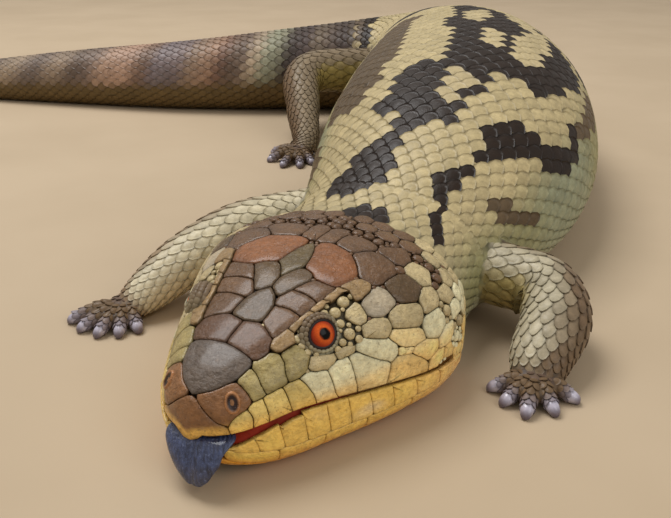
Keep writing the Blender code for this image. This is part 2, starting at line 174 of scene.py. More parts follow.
# how far the ball stays inside that size, and the height and spread of its clear bulge
EYE_SUNK = 0.12
BULGE_HEIGHT = 0.22
BULGE_SPREAD = 0.5
# half length and half height of the opening between the lids: left (1), and right (-1), which is more closed
OPENING = {1: (42, 37), -1: (28, 20)}
OPENING_POWER = 1.9
# half width and half height of the pupil, and its lean
PUPIL = (np.radians(14), np.radians(17))
PUPIL_LEAN = 0.25
# rows of points over the ball and round it
EYE_GRID = (56, 64)
LID_AROUND = 72
# angle beyond the opening's edge, height over the ball
LID_SECTION = [
    (-4, -0.2), (-2, 0.02), (2, 0.14), (8, 0.16), (16, 0.06), (26, -0.15), (36, -0.5), (44, -1.0),
    (34, -1.6), (14, -1.4), (2, -0.9),
]
# angle beyond the opening's edge, height over the ball, how many, size
BEAD_RINGS = [(8, 0.22, 24, 0.95), (19, 0.22, 21, 1.3), (32, 0.05, 19, 1.7), (44, -0.35, 18, 1.9)]

# rings of one bead: height of each as a share of the bead's, and brightness, painted shade low under the bead
# and a little painted light at its top
BEAD_AROUND = 9
BEAD_RISES = (-0.6, 0.0, 0.5, 0.85)
BEAD_SHADING = (0.5, 0.8, 1.0, 1.05)

# distance and turn of the left nostril
NOSTRIL = (3.7, 42)
# half width, half height, height over the outline
NOSTRIL_RINGS = [
    (1.25, 1.75, -0.3), (1.15, 1.65, 0.12), (1.02, 1.5, 0.3), (0.88, 1.34, 0.36), (0.76, 1.2, 0.3),
    (0.6, 1.0, 0.16), (0.3, 0.5, 0.1),
]

# how much painted shade darkens each of these rings, deepest in the pit
NOSTRIL_PIT_SHADING = (0, 0, 0, 0.1, 0.6, 1.0, 1.0)
NOSTRIL_AROUND = 28

# Tongue: distance, sideways, height, half width, half thickness
TONGUE = [
    (4.4, 1.2, 8.9, 4.4, 0.35), (3.0, 1.6, 8.6, 5.4, 0.55), (1.4, 1.1, 8.0, 5.9, 0.7),
    (0.1, 1.1, 7.2, 5.6, 0.85), (-0.9, 1.6, 5.9, 5.0, 0.95), (-1.6, 1.9, 4.6, 4.0, 0.95),
    (-2.1, 2.3, 3.3, 2.9, 0.8), (-2.4, 2.6, 2.2, 1.5, 0.55),
]

# Head plates. Each is the name of its colour, whether it is mirrored, and corners of distance and turn.
PLATES = [
    ("grey", 0, [(1.6, 88), (2.3, 72), (3.3, 64), (5.2, 59), (7.5, 58.5), (9.3, 60), (9.7, 74), (10, 88),
                 (9.7, 102), (9.3, 116), (7.5, 117.5), (5.2, 117), (3.3, 112), (2.3, 104)]),
    ("brown", 1, [(10, 88), (9.8, 78), (9.5, 68), (9.4, 60), (11.6, 58), (13.2, 62), (14.3, 68), (15.4, 77),
                  (14.9, 88), (12.5, 88)]),
    ("dusk", 0, [(14.9, 88), (15.2, 80), (15.6, 77.5), (19.4, 79), (21.3, 83), (22.8, 88), (21.3, 93),
                 (19.4, 97), (15.6, 98.5), (15.2, 96)]),
    ("umber", 1, [(15.5, 77), (17.5, 77), (19.4, 78.5), (19.7, 70), (19.3, 62), (16.4, 62), (13.6, 62.5),
                  (14.3, 68)]),
    ("umber", 1, [(19.5, 78.8), (20.6, 80.5), (23.3, 77), (23.3, 69), (22.7, 61.7), (19.4, 62),
                  (19.8, 70)]),
    ("umber", 1, [(23.4, 77), (25, 75), (26.7, 73), (26.8, 66), (27.0, 61.5), (22.8, 61.6), (23.4, 69)]),
    ("dusk", 1, [(22.8, 88), (25.2, 88), (27.3, 85), (28.7, 81.5), (28, 75.5), (26.7, 73.2), (25, 75.4),
                 (23.3, 77.5), (21.2, 81)]),
    ("olive", 0, [(25.3, 88), (27.3, 85.2), (29, 82), (31.8, 83), (34.4, 85.5), (35.6, 88), (34.4, 90.5),
                  (31.8, 93), (29, 94), (27.3, 90.8)]),
    ("rust", 1, [(28.8, 81), (31.8, 82.6), (34.6, 85), (36.9, 85), (37.2, 80), (36, 72.5), (34.2, 66.5),
                 (32, 61.5), (29.6, 60), (27, 62), (26.9, 68), (27, 73), (28.2, 75.5)]),
    ("sand", 1, [(12.2, 60), (13.3, 62.2), (16.3, 61.6), (16.2, 57), (15.4, 53), (12.6, 54.5)]),
    ("sand", 1, [(16.4, 61.5), (20.8, 61.6), (21, 58.6), (16.3, 57.8)]),
    ("sand", 1, [(20.9, 61.5), (23.6, 61.3), (24, 57.6), (21.1, 58.4)]),
    ("sand", 1, [(23.7, 61.3), (27.2, 61.3), (27.6, 56.5), (24.1, 57.5)]),
    ("sand", 1, [(27.3, 61.2), (29.6, 59.8), (31, 58), (31.2, 54), (29.6, 51.5), (27.2, 52.5),
                 (27.7, 56.5)]),
    ("tan", 1, [(1.7, 84), (2.2, 72), (3.2, 64), (5.1, 59), (5.7, 56.5), (5.7, 45), (5.7, 33), (4.4, 29.5),
                (3, 25), (2.2, 17), (1.5, 22), (1.15, 42), (1.2, 66)]),
    ("moss", 1, [(5.8, 56.5), (8.3, 58), (8.1, 50), (7.6, 42), (7.5, 33.5), (5.8, 33), (5.8, 45)]),
    ("moss", 1, [(8.4, 58), (11.6, 57.5), (12.4, 53), (12.1, 47), (11.2, 41), (10.9, 33.5), (7.6, 33.5),
                 (7.7, 42), (8.2, 50)]),
    ("moss", 1, [(12.5, 52.5), (15.2, 51.5), (15.6, 46.5), (15.3, 42), (14.2, 36), (12.4, 33), (11, 33.5),
                 (11.3, 41), (12.2, 47)]),
    ("lime", 1, [(2.3, 16), (3.1, 25), (4.7, 30), (5, 19), (4.7, 7), (3.6, 6), (2.5, 5)]),
    ("lime", 1, [(4.8, 30), (5.8, 33), (6.9, 33), (6.9, 20), (6.8, 9.5), (4.8, 7.5), (5.1, 19)]),
    ("lime", 1, [(7, 33.3), (9.9, 33.5), (10, 20), (10.2, 9.8), (6.9, 9.6), (7, 20)]),
    ("lime", 1, [(10, 33.5), (12.4, 32.8), (12.9, 28), (13.6, 18), (14, 9.4), (10.3, 9.8), (10.1, 20)]),
    ("cream", 1, [(12.5, 32.8), (14.3, 32), (16.7, 28.5), (17, 18), (17.3, 8.5), (14.1, 9.3), (13.7, 18),
                  (13, 28)]),
    ("cream", 1, [(16.8, 28.4), (18.8, 30.4), (20.4, 30), (20.6, 17), (20.9, 5.5), (17.4, 8.4),
                  (17.1, 18)]),
    ("cream", 1, [(20.5, 30), (21.8, 30), (24, 22.5), (27, 14), (26.6, 7), (26, 0.5), (21, 5.2),
                  (20.7, 17)]),
    ("peach", 1, [(27.1, 13.5), (28.4, 16), (31, 13), (33.6, 5), (34.6, -2), (34, -7.5), (30, -5),
                  (26.1, 0.3), (26.7, 7)]),
    ("cream", 1, [(21.9, 30.2), (22.4, 33.6), (23.4, 34.4), (25.2, 31), (27.2, 27), (28.7, 22), (28.5, 17),
                  (27.3, 14.2), (25, 18.5), (23, 25)]),
    ("peach", 1, [(27.7, 28), (28.7, 31), (30.8, 28), (32.8, 25.5), (34, 21.5), (34, 17), (31.8, 17),
                  (29.8, 18.5), (28.9, 22)]),
    ("peach", 1, [(28.7, 20), (30.9, 17), (31.6, 15.8), (30.8, 13.2), (28.5, 16)]),
    ("khaki", 1, [(24, 35), (24.7, 40), (26.2, 39.5), (28.4, 37.5), (29.2, 34), (28.6, 31.2), (27.4, 28.6),
                  (25.6, 31.2)]),
    ("khaki", 1, [(28.8, 33.5), (29.3, 37.5), (30.6, 39.5), (32.2, 39), (35, 35.5), (35.6, 32),
                  (34.6, 27.5), (33.1, 25.7), (31, 28.4), (29, 31)]),
    ("frost", 1, [(26.6, 44), (27.4, 49), (29.2, 51), (31.3, 51), (32.3, 47), (32, 41.5), (30.2, 40),
                  (28.2, 40)]),
    ("dusk", 1, [(32.5, 46.5), (33.3, 51), (35.5, 51), (37.6, 48), (38.2, 43), (37.2, 39.5), (35.4, 37),
                 (32.4, 40.5)]),
    ("khaki", 1, [(35.8, 33), (36.2, 37), (38.4, 39.5), (40.4, 37), (40, 32), (38.9, 29), (37, 28.6),
                  (35.2, 29)]),
    ("cream", 1, [(34.2, 22), (34.8, 27), (36.8, 28.4), (38.6, 27.5), (39.8, 22), (39, 17), (36.8, 13),
                  (34.4, 17)]),
    ("peach", 1, [(31.2, 13), (31.8, 16), (34, 16.4), (35.6, 14.5), (36.8, 11.5), (36.6, 6), (34.4, 3),
                  (33.4, 6)]),
    ("cream", 1, [(37.1, 12.5), (39.2, 16.5), (41, 15), (41.6, 8), (39.6, 3), (37, 5)]),
    ("umber", 1, [(31, 57.5), (32.2, 61), (34.4, 66), (36.1, 70), (38.4, 67), (39.2, 61), (38.4, 55),
                  (36.4, 52), (33, 52), (31.4, 53.5)]),
    ("umber", 1, [(37.3, 79.5), (40.6, 80), (42.6, 76), (42.2, 69), (40, 65.5), (38.6, 67.2), (36.3, 71)]),
    ("umber", 1, [(36.2, 88), (41, 88), (43.8, 86), (44, 80.5), (40.6, 80.8), (37.4, 80.6), (37, 85.4)]),
    ("khaki", 1, [(38.4, 45.5), (38.8, 50.5), (41, 52), (43, 49), (43.4, 43.5), (41.4, 39.5), (39, 40.5)]),
    ("umber", 1, [(38.7, 54.5), (39.4, 61), (40.4, 64.5), (43, 63), (44, 57), (42.4, 52.8), (40, 52.4)]),
    ("khaki", 1, [(23.5, 48), (24.6, 51), (26.3, 50.5), (26.6, 45), (25.6, 41), (24, 41.5)]),
    ("khaki", 1, [(14.4, 36), (15.6, 40), (17.4, 37.6), (18.7, 36), (18.8, 32), (17, 29.2), (14.8, 32)]),
    ("peach", 1, [(35.2, 2), (36.8, 5.4), (38.4, 5), (38.2, -3), (36.4, -8), (34.8, -6)]),
    ("peach", 1, [(38.6, 4.6), (40.6, 3), (41.4, -3), (40.4, -9), (38.4, -7), (38.4, -3)]),
    ("khaki", 1, [(18.9, 36), (20.8, 36), (22.2, 34), (21.7, 30.6), (20.4, 30.6), (18.9, 31)]),
]
# the plate at the tip of the snout
ROSTRAL = [(1.6, 88), (1.05, 60), (1.05, 40), (1.45, 21), (2.3, 15), (2.4, 5), (1.3, 3), (0.5, -4),
           (0.05, -40), (0.05, -90), (0.05, 270), (0.05, 220), (0.5, 184), (1.3, 177), (2.4, 175),
           (2.3, 165), (1.45, 159), (1.05, 140), (1.05, 116)]
PLATE_COLOURS = {
    "grey": (102, 88, 76), "brown": (100, 70, 48), "dusk": (94, 72, 44), "umber": (106, 76, 48),
    "olive": (104, 86, 52), "rust": (138, 86, 46), "sand": (158, 128, 86), "tan": (144, 100, 62),
    "moss": (166, 148, 94), "lime": (230, 200, 118), "cream": (240, 230, 186), "peach": (255, 226, 160),
    "khaki": (196, 176, 130), "frost": (182, 166, 138),
}
# how far plates stand above their neighbours
PLATE_LIFT = {"sand": 0.35, "rust": 0.05, "grey": 0.1}
# the plate at the tip of the lower jaw
MENTAL = [(1.7, -4), (1.9, -24), (1.6, -60), (1.6, -120), (1.9, -156), (1.7, -176), (0.8, -176), (0.8, -4)]
# small plates that fill the cheeks and temples where no other lies: distances, then first turn, last turn and
# step, then half length and half height in degrees
CHEEK_ROWS = [35.4, 39.2, 43.0, 46.8, 50.6]
CHEEK_TURNS = (-22, 86, 10.5)
CHEEK_SIZE = (1.75, 4.6)
CHEEK_POINTS = 10
# granules that fill what the plates leave open: first and last distance and turn, limits of their half width
GRANULE_FIELD = (14.0, 51.0, -20, 90)
GRANULE_LARGEST = 1.15
GRANULE_SMALLEST = 0.36
# no granule lies nearer than this to the eye's axis
EYE_CLEAR = 2.9
# where the body's scales take over from the plates: turn, distance
PLATES_END = [
    (-90, 5), (-72, 5), (-64, 48), (-24, 50.5), (2, 51.5), (50, 51.5), (90, 51),
]
# distances of the seams along the lower lip, and turns of the rows under it
JAW_SEAMS = [1.6, 4.4, 7.6, 11.2, 15.0, 18.7, 22.4, 26.4, 31.0, 36.0, 40.5]
JAW_ROWS = [-24, -44, -64]
# width of the grooves between plates
GROOVE = 0.08
JAW_GROOVE = 0.06


def colour(red, green, blue):
    """A colour read as sRGB on a scale of 255, as linear light."""
    c = np.array([red, green, blue]) / 255
    return np.where(c < 0.04045, c / 12.92, ((c + 0.055) / 1.055) ** 2.4)


PALE = colour(188, 170, 126)
OLIVE = colour(152, 147, 104)
FLANK_GREEN = colour(150, 152, 122)
NAPE = colour(150, 138, 106)
BELLY = colour(176, 172, 142)
LIMB_PALE = colour(176, 166, 140)
LIMB_BROWN = colour(112, 90, 66)
PALM_BROWN = colour(104, 84, 70)
TOE_TIP = colour(142, 132, 138)
LIMB_YELLOW = colour(170, 150, 84)
# brightness of each limb, and which side of it faces away from the body
LIMB_BRIGHT = (1.05, 1.4, 1.05, 1.0)
OUTER_SIDES = (-1, 1, 1, -1)
MOUTH_RED = colour(176, 52, 26)
MOUTH_CORNER = colour(120, 78, 30)
LIP_ORANGE = colour(255, 200, 96)
JAW_FRONT = colour(255, 210, 106)
JAW_BACK = colour(255, 202, 126)
JAW_UNDER = colour(252, 172, 48)
JAW_BLOOM = colour(255, 236, 200)
LID_DARK = colour(38, 26, 22)
LID_BROWN = colour(112, 92, 70)
LID_PALE = colour(168, 160, 130)
IRIS_INNER = colour(222, 98, 36)
IRIS_OUTER = colour(158, 50, 20)
EYE_DARK = colour(36, 20, 16)
NOSTRIL_PIT_SHADE = colour(42, 18, 10)
NOSTRIL_RIM = colour(178, 122, 76)
CLAW_PALE = colour(192, 186, 200)
CLAW_DARK = colour(96, 84, 96)
PIT_BROWN = colour(70, 48, 36)
DRY_HORN = colour(176, 140, 112)
TONGUE_DARK = colour(28, 33, 58)
TONGUE_BLUE = colour(72, 84, 122)
TONGUE_PALE = colour(118, 128, 160)
FLOOR_DARK = colour(186, 165, 136)
FLOOR_PALE = colour(192, 171, 142)


def circle(count):
    """Angles of evenly spaced points round a circle."""
    return np.linspace(0, TAU, count, endpoint=False)


def smooth_table(x, table):
    """Values at x from rows of (x, value, ...), on a cubic that never overshoots its rows."""
    rows = np.asarray(table, float)
    at, values = rows[:, 0], rows[:, 1:]
    x = np.clip(np.asarray(x, float), at[0], at[-1])
    slope = np.diff(values, axis=0) / np.diff(at)[:, None]
    before, after = slope[:-1], slope[1:]
    total = np.where(np.abs(before + after) < 1e-9, 1.0, before + after)
    inner = np.where(before * after > 0, 2 * before * after / total, 0)
    tangent = np.vstack([slope[:1], inner, slope[-1:]])
    i = np.clip(np.searchsorted(at, x, side="right") - 1, 0, len(at) - 2)
    h = (at[i + 1] - at[i])[..., None]
    u = (x - at[i])[..., None] / h
    rise, fall = u * u * (3 - 2 * u), (1 + 2 * u) * (1 - u) ** 2
    bend = h * u * (1 - u) * ((1 - u) * tangent[i] - u * tangent[i + 1])
    return fall * values[i] + rise * values[i + 1] + bend


STEPS = np.arange(0, BODY_LENGTH + 20.0)
ANGLES = np.radians(smooth_table(STEPS, HEADING)[:, 0])
LINE_X = SNOUT_X + np.concatenate([[0], np.cumsum((np.cos(ANGLES[1:]) + np.cos(ANGLES[:-1])) / 2)])
LINE_Y = SNOUT_Y + np.concatenate([[0], np.cumsum((np.sin(ANGLES[1:]) + np.sin(ANGLES[:-1])) / 2)])


def place(local):
    """World points from (distance, sideways to the left, height): the body's line carries them."""
    distance, lateral, z = np.moveaxis(np.asarray(local, float), -1, 0)
    x, y, angle = (np.interp(distance, STEPS, line) for line in (LINE_X, LINE_Y, ANGLES))
    ahead = np.minimum(distance, 0)
    px = x + lateral * np.sin(angle) + ahead * np.cos(angle)
    return np.stack([px, y - lateral * np.cos(angle) + ahead * np.sin(angle), z], -1)


def outline_at(distance):
    """Half width, top, underside and widest level of the outline, from its table."""
    return np.moveaxis(smooth_table(distance, BODY), -1, 0)


def squareness(distance):
    """Powers of the superellipse above and below the widest level, from their table."""
    return np.moveaxis(smooth_table(distance, SQUARENESS), -1, 0)


def upper_lip(distance):
    """Height of the upper lip's edge, from its table."""
    return smooth_table(distance, MOUTH_LINE)[..., 0]


def lip_gap(distance):
    """How far the lower lip's edge lies below the upper one, from its table."""
    return smooth_table(distance, MOUTH_GAP)[..., 0]


def jaw_flare(distance):
    """How far the lower jaw stands outside the upper lip: more over the first 8 mm, less over the last 10."""
    return JAW_FLARE * np.clip(distance / 8, 0, 1) * np.clip((HEAD_END - distance) / 10, 0, 1)


def hide_local(distance, turn, jaw=False):
    """(distance, sideways, height) on the outline: a superellipse above the widest level and another below.

    The lower jaw stands a little outside the upper lip.
    """
    distance, turn = np.broadcast_arrays(np.asarray(distance, float), np.asarray(turn, float))
    half, top, bottom, wide = outline_at(distance)
    above, below = squareness(distance)
    c, s = np.cos(turn), np.sin(turn)
    power = np.where(s >= 0, above, below)
    reach = (np.abs(c) ** power + np.abs(s) ** power) ** (-1 / power)
    z = wide + np.where(s >= 0, top - wide, wide - bottom + UNDERSIDE_SINK) * reach * s
    lateral = half * reach * c
    if jaw:
        lateral = lateral + np.sign(lateral) * jaw_flare(distance) * np.clip(np.abs(lateral) / 8, 0, 1)
    return np.stack([distance, lateral, np.maximum(z, bottom)], -1)


def lip_turn(distance, height):
    """The turn, on the animal's left, where the outline is at this height."""
    half, top, bottom, wide = outline_at(distance)
    above, below = squareness(distance)
    s = (height - wide) / np.where(height >= wide, top - wide, wide - bottom + UNDERSIDE_SINK)
    power = np.where(height >= wide, above, below)
    s = np.clip(s, -0.98, 0.98)
    return np.arctan2(s, (1 - np.abs(s) ** power) ** (1 / power))


def with_normals(surface, p, q, step_p=0.05, step_q=0.002):
    """Points of a surface of two parameters and its outward normals, from differences along both."""
    along_p = surface(p + step_p, q) - surface(p - step_p, q)
    along_q = surface(p, q + step_q) - surface(p, q - step_q)
    normal = np.cross(along_p, along_q)
    return surface(p, q), normal / (np.linalg.norm(normal, axis=-1, keepdims=True) + 1e-12)


def hide(distance, turn):
    """World points on the outline of the body."""
    return place(hide_local(distance, turn))


def jaw_hide(distance, turn):
    """World points on the outline of the lower jaw."""
    return place(hide_local(distance, turn, jaw=True))


def along_rows(rows, t):
    """Points on a smooth cubic through the rows. t counts rows from the first and may run past both ends."""
    rows = np.asarray(rows, float)
    t = np.asarray(t, float)
    ends = np.vstack([2 * rows[0] - rows[1], rows, 2 * rows[-1] - rows[-2]])
    i = np.clip(t.astype(int), 0, len(rows) - 2)
    u = (t - i)[..., None]
    a, b, c, d = ends[i], ends[i + 1], ends[i + 2], ends[i + 3]
    return 0.5 * (2 * b + (c - a) * u + (2 * a - 5 * b + 4 * c - d) * u**2 + (3 * b - a - 3 * c + d) * u**3)


def limb_surface(rows):
    """The outline of a limb: an ellipse carried square to the curve through its rows."""

    def surface(t, turn):
        """Points at t rows along the limb and at this turn: the middle, plus the ellipse's two half axes."""
        t, turn = np.broadcast_arrays(np.asarray(t, float), np.asarray(turn, float))
        at = along_rows(rows, t)
        ahead = along_rows(rows, t + 0.01)[..., :3] - along_rows(rows, t - 0.01)[..., :3]
        side = np.cross(ahead, (0, 0, 1.0))
        side /= np.linalg.norm(side, axis=-1, keepdims=True)
        up = np.cross(side, ahead)
        up /= np.linalg.norm(up, axis=-1, keepdims=True)
        out = (at[..., 3] * np.cos(turn))[..., None] * side + (at[..., 4] * np.sin(turn))[..., None] * up
        point = at[..., :3] + out
        point[..., 2] = np.maximum(point[..., 2], 0)
        return point

    return surface


def toe_rows(rows, tip):
    """Rows of x, y, z, half width, half height from the palm's middle to a toe's end, and its direction."""
    palm, tip = np.array(rows[-1][:2]), np.array(tip)
    ahead = (tip - palm) / np.linalg.norm(tip - palm)
    end = tip - ahead * CLAW_LENGTH
    return [
        (*palm, PALM_HEIGHT, TOE_BASE, TOE_BASE), (*(palm + end) / 2, TOE_ARCH, TOE_BASE, TOE_BASE),
        (*end, TOE_END, TOE_END, TOE_END),
    ], ahead


# Meshes


def nearest(points, roots):
    """The number of the root nearest each point, and how far off it lies, found in a tree of the roots."""
    tree = kdtree.KDTree(len(roots))
    for i, root in enumerate(roots):
        tree.insert(root, i)
    tree.balance()
    found = [tree.find(point) for point in points]
    return [near[1] for near in found], np.array([near[2] for near in found])


def grid_faces(rows, columns, closed):
    """Quads of a grid of points, wound round its columns when closed."""
    i, j = np.meshgrid(np.arange(rows - 1), np.arange(columns if closed else columns - 1), indexing="ij")
    a, b = i * columns + j, i * columns + (j + 1) % columns
    return np.stack([a, a + columns, b + columns, b], -1).reshape(-1, 4)


def loft(rings):
    """Vertices and faces of a closed solid through rings of points, with a face over each end."""
    rings = np.asarray(rings, float)
    count, around = rings.shape[:2]
    faces = grid_faces(count, around, True).tolist()
    faces.append(list(range(around)))
    faces.append(list(range(count * around - 1, (count - 1) * around - 1, -1)))
    return rings.reshape(-1, 3), faces


def join(shapes):
    """One set of vertices and faces from several."""
    points, faces, start = [], [], 0
    for shape_points, shape_faces in shapes:
        points.append(shape_points)
        faces += [[start + i for i in face] for face in shape_faces]
        start += len(shape_points)
    return np.vstack(points), faces


def make(name, points, faces, colours=None, patches=None, smooth=True):
    """A mesh object from points in millimetres, with a marking colour and a bake place at each point."""
    mesh = bpy.data.meshes.new(name)
    faces = faces if isinstance(faces, list) else faces.tolist()
    mesh.from_pydata((np.asarray(points) * MM).tolist(), [], faces)
    if colours is not None:
        values = np.ones((len(points), 4), np.float32)
        values[:, :3] = np.clip(colours, 0, 1)
        mesh.color_attributes.new("marking", "FLOAT_COLOR", "POINT").data.foreach_set("color",
                                                                                      values.ravel())
    if patches is not None:
        corner = np.zeros(len(mesh.loops), np.int32)
        mesh.loops.foreach_get("vertex_index", corner)
        mesh.uv_layers.new(name="OFBake").data.foreach_set("uv", patches[corner].astype(np.float32).ravel())
    mesh.polygons.foreach_set("use_smooth", np.full(len(mesh.polygons), smooth))
    obj = bpy.data.objects.new(name, mesh)
    bpy.context.scene.collection.objects.link(obj)
    return obj


# Markings


def fade(x, low, high):
    """Rises smoothly from 0 at low to 1 at high."""
    u = np.clip((x - low) / (high - low), 0, 1)
    return u * u * (3 - 2 * u)


def wave(a, b, seed):
    """A soft irregular field between -1 and 1, the sum of sines in turned directions."""
    generator = np.random.default_rng(seed)
    total = 0
    for k in range(6):
        angle, phase = generator.uniform(0, TAU, 2)
        along = a * np.cos(angle) + b * np.sin(angle)
        total = total + np.sin(along * (0.6 + 0.35 * k) + phase) / (1 + 0.4 * k)
    return total / 2.2


# Dark and pale patches of the coat, painted in this order: distance and turn of the corners of each
PATCHES = [
    ("dark", [(61, 111), (64, 119), (70, 121), (76, 116), (82, 113), (84, 107), (92, 105), (96, 109),
              (97, 116), (102, 119), (108, 114), (116, 115), (121, 114), (124, 106), (128, 100), (134, 95),
              (142, 94), (155, 98), (175, 99), (195, 98), (215, 95), (222, 84), (210, 76), (196, 66),
              (190, 54), (175, 46), (160, 40), (147, 34), (139, 35), (136, 40), (133, 44), (125, 48),
              (117, 49), (116, 60), (121, 66), (121, 72), (117, 75), (110, 77), (104, 77), (101, 79),
              (97, 75), (94, 80), (92, 84), (90, 92), (87, 96), (81, 99), (76, 98), (78, 91), (71, 90),
              (70, 96), (66, 93), (62, 100)]),
    ("dark", [(54, 40), (56, 48), (61, 55), (66, 59), (69, 66), (70, 72), (75, 71), (77, 66), (82, 63),
              (89, 63), (94, 66), (97, 61), (103, 59), (102, 52), (103, 46), (102, 38), (105, 32),
              (110, 31), (116, 34), (120, 33), (120, 27), (112, 23), (104, 25), (98, 26), (95, 30),
              (93, 38), (94, 44), (90, 48), (87, 51), (86, 57), (80, 58), (76, 56), (71, 56), (67, 53),
              (63, 48), (58, 43)]),
    ("dark", [(45, 79), (47, 90), (52, 96), (57, 95), (58, 88), (58, 80), (55, 74), (52, 74), (50, 79)]),
    ("pale", [(102, 83), (105, 90), (108, 92), (112, 90), (117, 92), (121, 90), (119, 83), (114, 79),
              (110, 80), (106, 84)]),
    ("pale", [(143, 80), (146, 84), (157, 84), (166, 80), (163, 75), (150, 73), (145, 75)]),
    ("pale", [(133, 65), (138, 69), (150, 69), (160, 68), (172, 65), (186, 66), (196, 70), (204, 66),
              (194, 58), (175, 55), (160, 55), (150, 56), (142, 56), (136, 59)]),
    ("pale", [(176, 84), (182, 92), (196, 93), (206, 88), (202, 81), (188, 80)]),
    ("brown", [(106, 134), (112, 127), (118, 122), (130, 119), (140, 117), (150, 120), (165, 119),
               (185, 117), (205, 113), (214, 122), (210, 136), (190, 142), (170, 146), (150, 148),
               (130, 152), (115, 152), (107, 144)]),
    ("brown", [(85, 147), (92, 152), (104, 154), (108, 160), (98, 166), (86, 164), (78, 156)]),
    ("brown", [(74, 44), (76, 37), (80, 33), (84, 26), (88, 22), (85, 17), (80, 20), (76, 28), (72, 36)]),
    ("brown", [(118, 30), (128, 33), (140, 33), (150, 31), (156, 24), (146, 20), (132, 22), (120, 24)]),
    ("dark", [(158, 34), (170, 38), (188, 44), (202, 52), (208, 44), (200, 32), (184, 26), (168, 24)]),
    ("dark", [(222, 60), (228, 74), (232, 90), (230, 106), (226, 122), (232, 140), (240, 150), (248, 138),
              (246, 118), (250, 100), (250, 80), (246, 60), (240, 42), (230, 34), (220, 44)]),
    ("pale", [(236, 84), (242, 92), (244, 84), (240, 76)]),
    ("brown", [(212, 150), (224, 158), (236, 166), (246, 160), (238, 150), (224, 142)]),
    ("dark", [(283, 30), (281, 60), (283, 90), (284, 110), (282, 130), (284, 150), (291, 152), (290, 130),
              (292, 108), (291, 90), (290, 60), (291, 30)]),
]
PATCH_COLOURS = {"dark": colour(38, 25, 14), "pale": colour(188, 170, 128), "brown": colour(96, 78, 54)}
# Bands of the tail: distance, then red, green and blue
TAIL_BANDS = [
    (262, 168, 150, 118), (281, 160, 142, 112), (290, 128, 110, 90), (296, 66, 54, 48), (303, 84, 70, 60),
    (309, 104, 90, 74), (315, 70, 58, 54), (320, 66, 56, 50), (325, 118, 114, 94), (331, 138, 134, 112),
    (336, 152, 134, 112), (341, 96, 80, 68), (348, 104, 80, 66), (354, 146, 116, 94), (361, 142, 118, 98),
    (367, 118, 102, 98), (376, 110, 98, 98), (383, 106, 84, 70), (391, 156, 126, 106), (402, 152, 124, 104),
    (409, 112, 94, 82), (416, 98, 82, 70), (426, 142, 122, 102), (438, 100, 86, 76), (452, 136, 118, 98),
    (466, 98, 84, 74), (480, 134, 116, 98), (494, 92, 78, 68), (508, 122, 106, 90), (523, 96, 84, 74),
]
# how much the bands lean, how bright they are, and the colour under the tail
TAIL_SLANT = 0.09
TAIL_BRIGHT = 1.22
TAIL_UNDER = colour(104, 84, 50)


def inside(x, y, corners):
    """Whether each point lies inside an outline: it crosses an odd number of edges to one side."""
    count = np.zeros(x.shape, int)
    for (ax, ay), (bx, by) in zip(corners, corners[1:] + corners[:1]):
        spans = (ay > y) != (by > y)
        count += spans & (x < ax + (bx - ax) * (y - ay) / np.where(by == ay, 1e-9, by - ay))
    return count % 2 == 1


def side_angle(turn):
    """A turn in degrees from -90 to 270, and the angle above the nearer side, from -90 below to 90 on top."""
    turn = turn % 360
    turn = np.where(turn > 270, turn - 360, turn)
    return turn, np.where(turn > 90, 180 - turn, turn)


def body_colour(distance, turn):
    """Colour of the body's coat: pale with dark patches over the back, olive flanks, and a banded tail."""
    t, side = side_angle(np.degrees(turn))
    base = PALE + (OLIVE - PALE) * (1 - fade(side, 12, 46))[..., None]
    green = fade(distance, 78, 96) * (1 - fade(distance, 110, 130)) * (1 - fade(side, 20, 40))
    base = base + (FLANK_GREEN - base) * green[..., None]
    base = base + (BELLY - base) * fade(-side, 6, 30)[..., None]
    base = base + (NAPE - base) * (1 - fade(distance, 44, 62))[..., None]
    wobble = 1.2 * wave(distance / 4, t / 5, 8), 1.6 * wave(distance / 4, t / 5, 9)
    for kind, corners in PATCHES:
        found = inside(distance + wobble[0], t + wobble[1], corners)
        base = np.where(found[..., None], PATCH_COLOURS[kind], base)
    bands = smooth_table(distance - TAIL_SLANT * (t - 110) * fade(distance, 296, 310), TAIL_BANDS)
    shift = 1 + 0.18 * wave(distance / 5, t / 16, 4)[..., None]
    bands = colour(*np.moveaxis(bands, -1, 0)).T * shift * TAIL_BRIGHT
    low = fade(-side, -4, 14)[..., None]
    bands = bands + (TAIL_UNDER - bands) * low
    return base + (bands - base) * fade(distance, 286, 296)[..., None]


def limb_colour(number, t, turn):
    """Colour of a limb's coat: grey cream, browner outside and at the toes, yellow inside near the body."""
    outer = OUTER_SIDES[number] * np.cos(turn)
    mottle = 0.35 * wave(t * 3, turn * 2, 5)
    brown = fade(outer + 0.3 * np.sin(turn) + mottle, -0.1, 0.8)
    if number > 1:
        brown = np.maximum(brown, 0.75)
    brown = np.maximum(brown, fade(t, 4.1, 4.7))
    base = LIMB_PALE + (LIMB_BROWN - LIMB_PALE) * brown[..., None]
    base = base * LIMB_BRIGHT[number]
    yellow = fade(-outer, 0.1, 0.8) * (1 - fade(t, 2.0, 3.0)) * (1 - fade(np.sin(turn), 0.2, 0.7))
    return base + (LIMB_YELLOW - base) * (0.8 * yellow)[..., None]


# Scales


def on_map(distance, turn):
    """Place on the bake map: across it with the distance from the snout, up it with the turn in radians."""
    return np.stack([0.01 + 0.98 * distance / BODY_LENGTH, 0.01 + 0.6 * (turn % TAU) / TAU], -1)


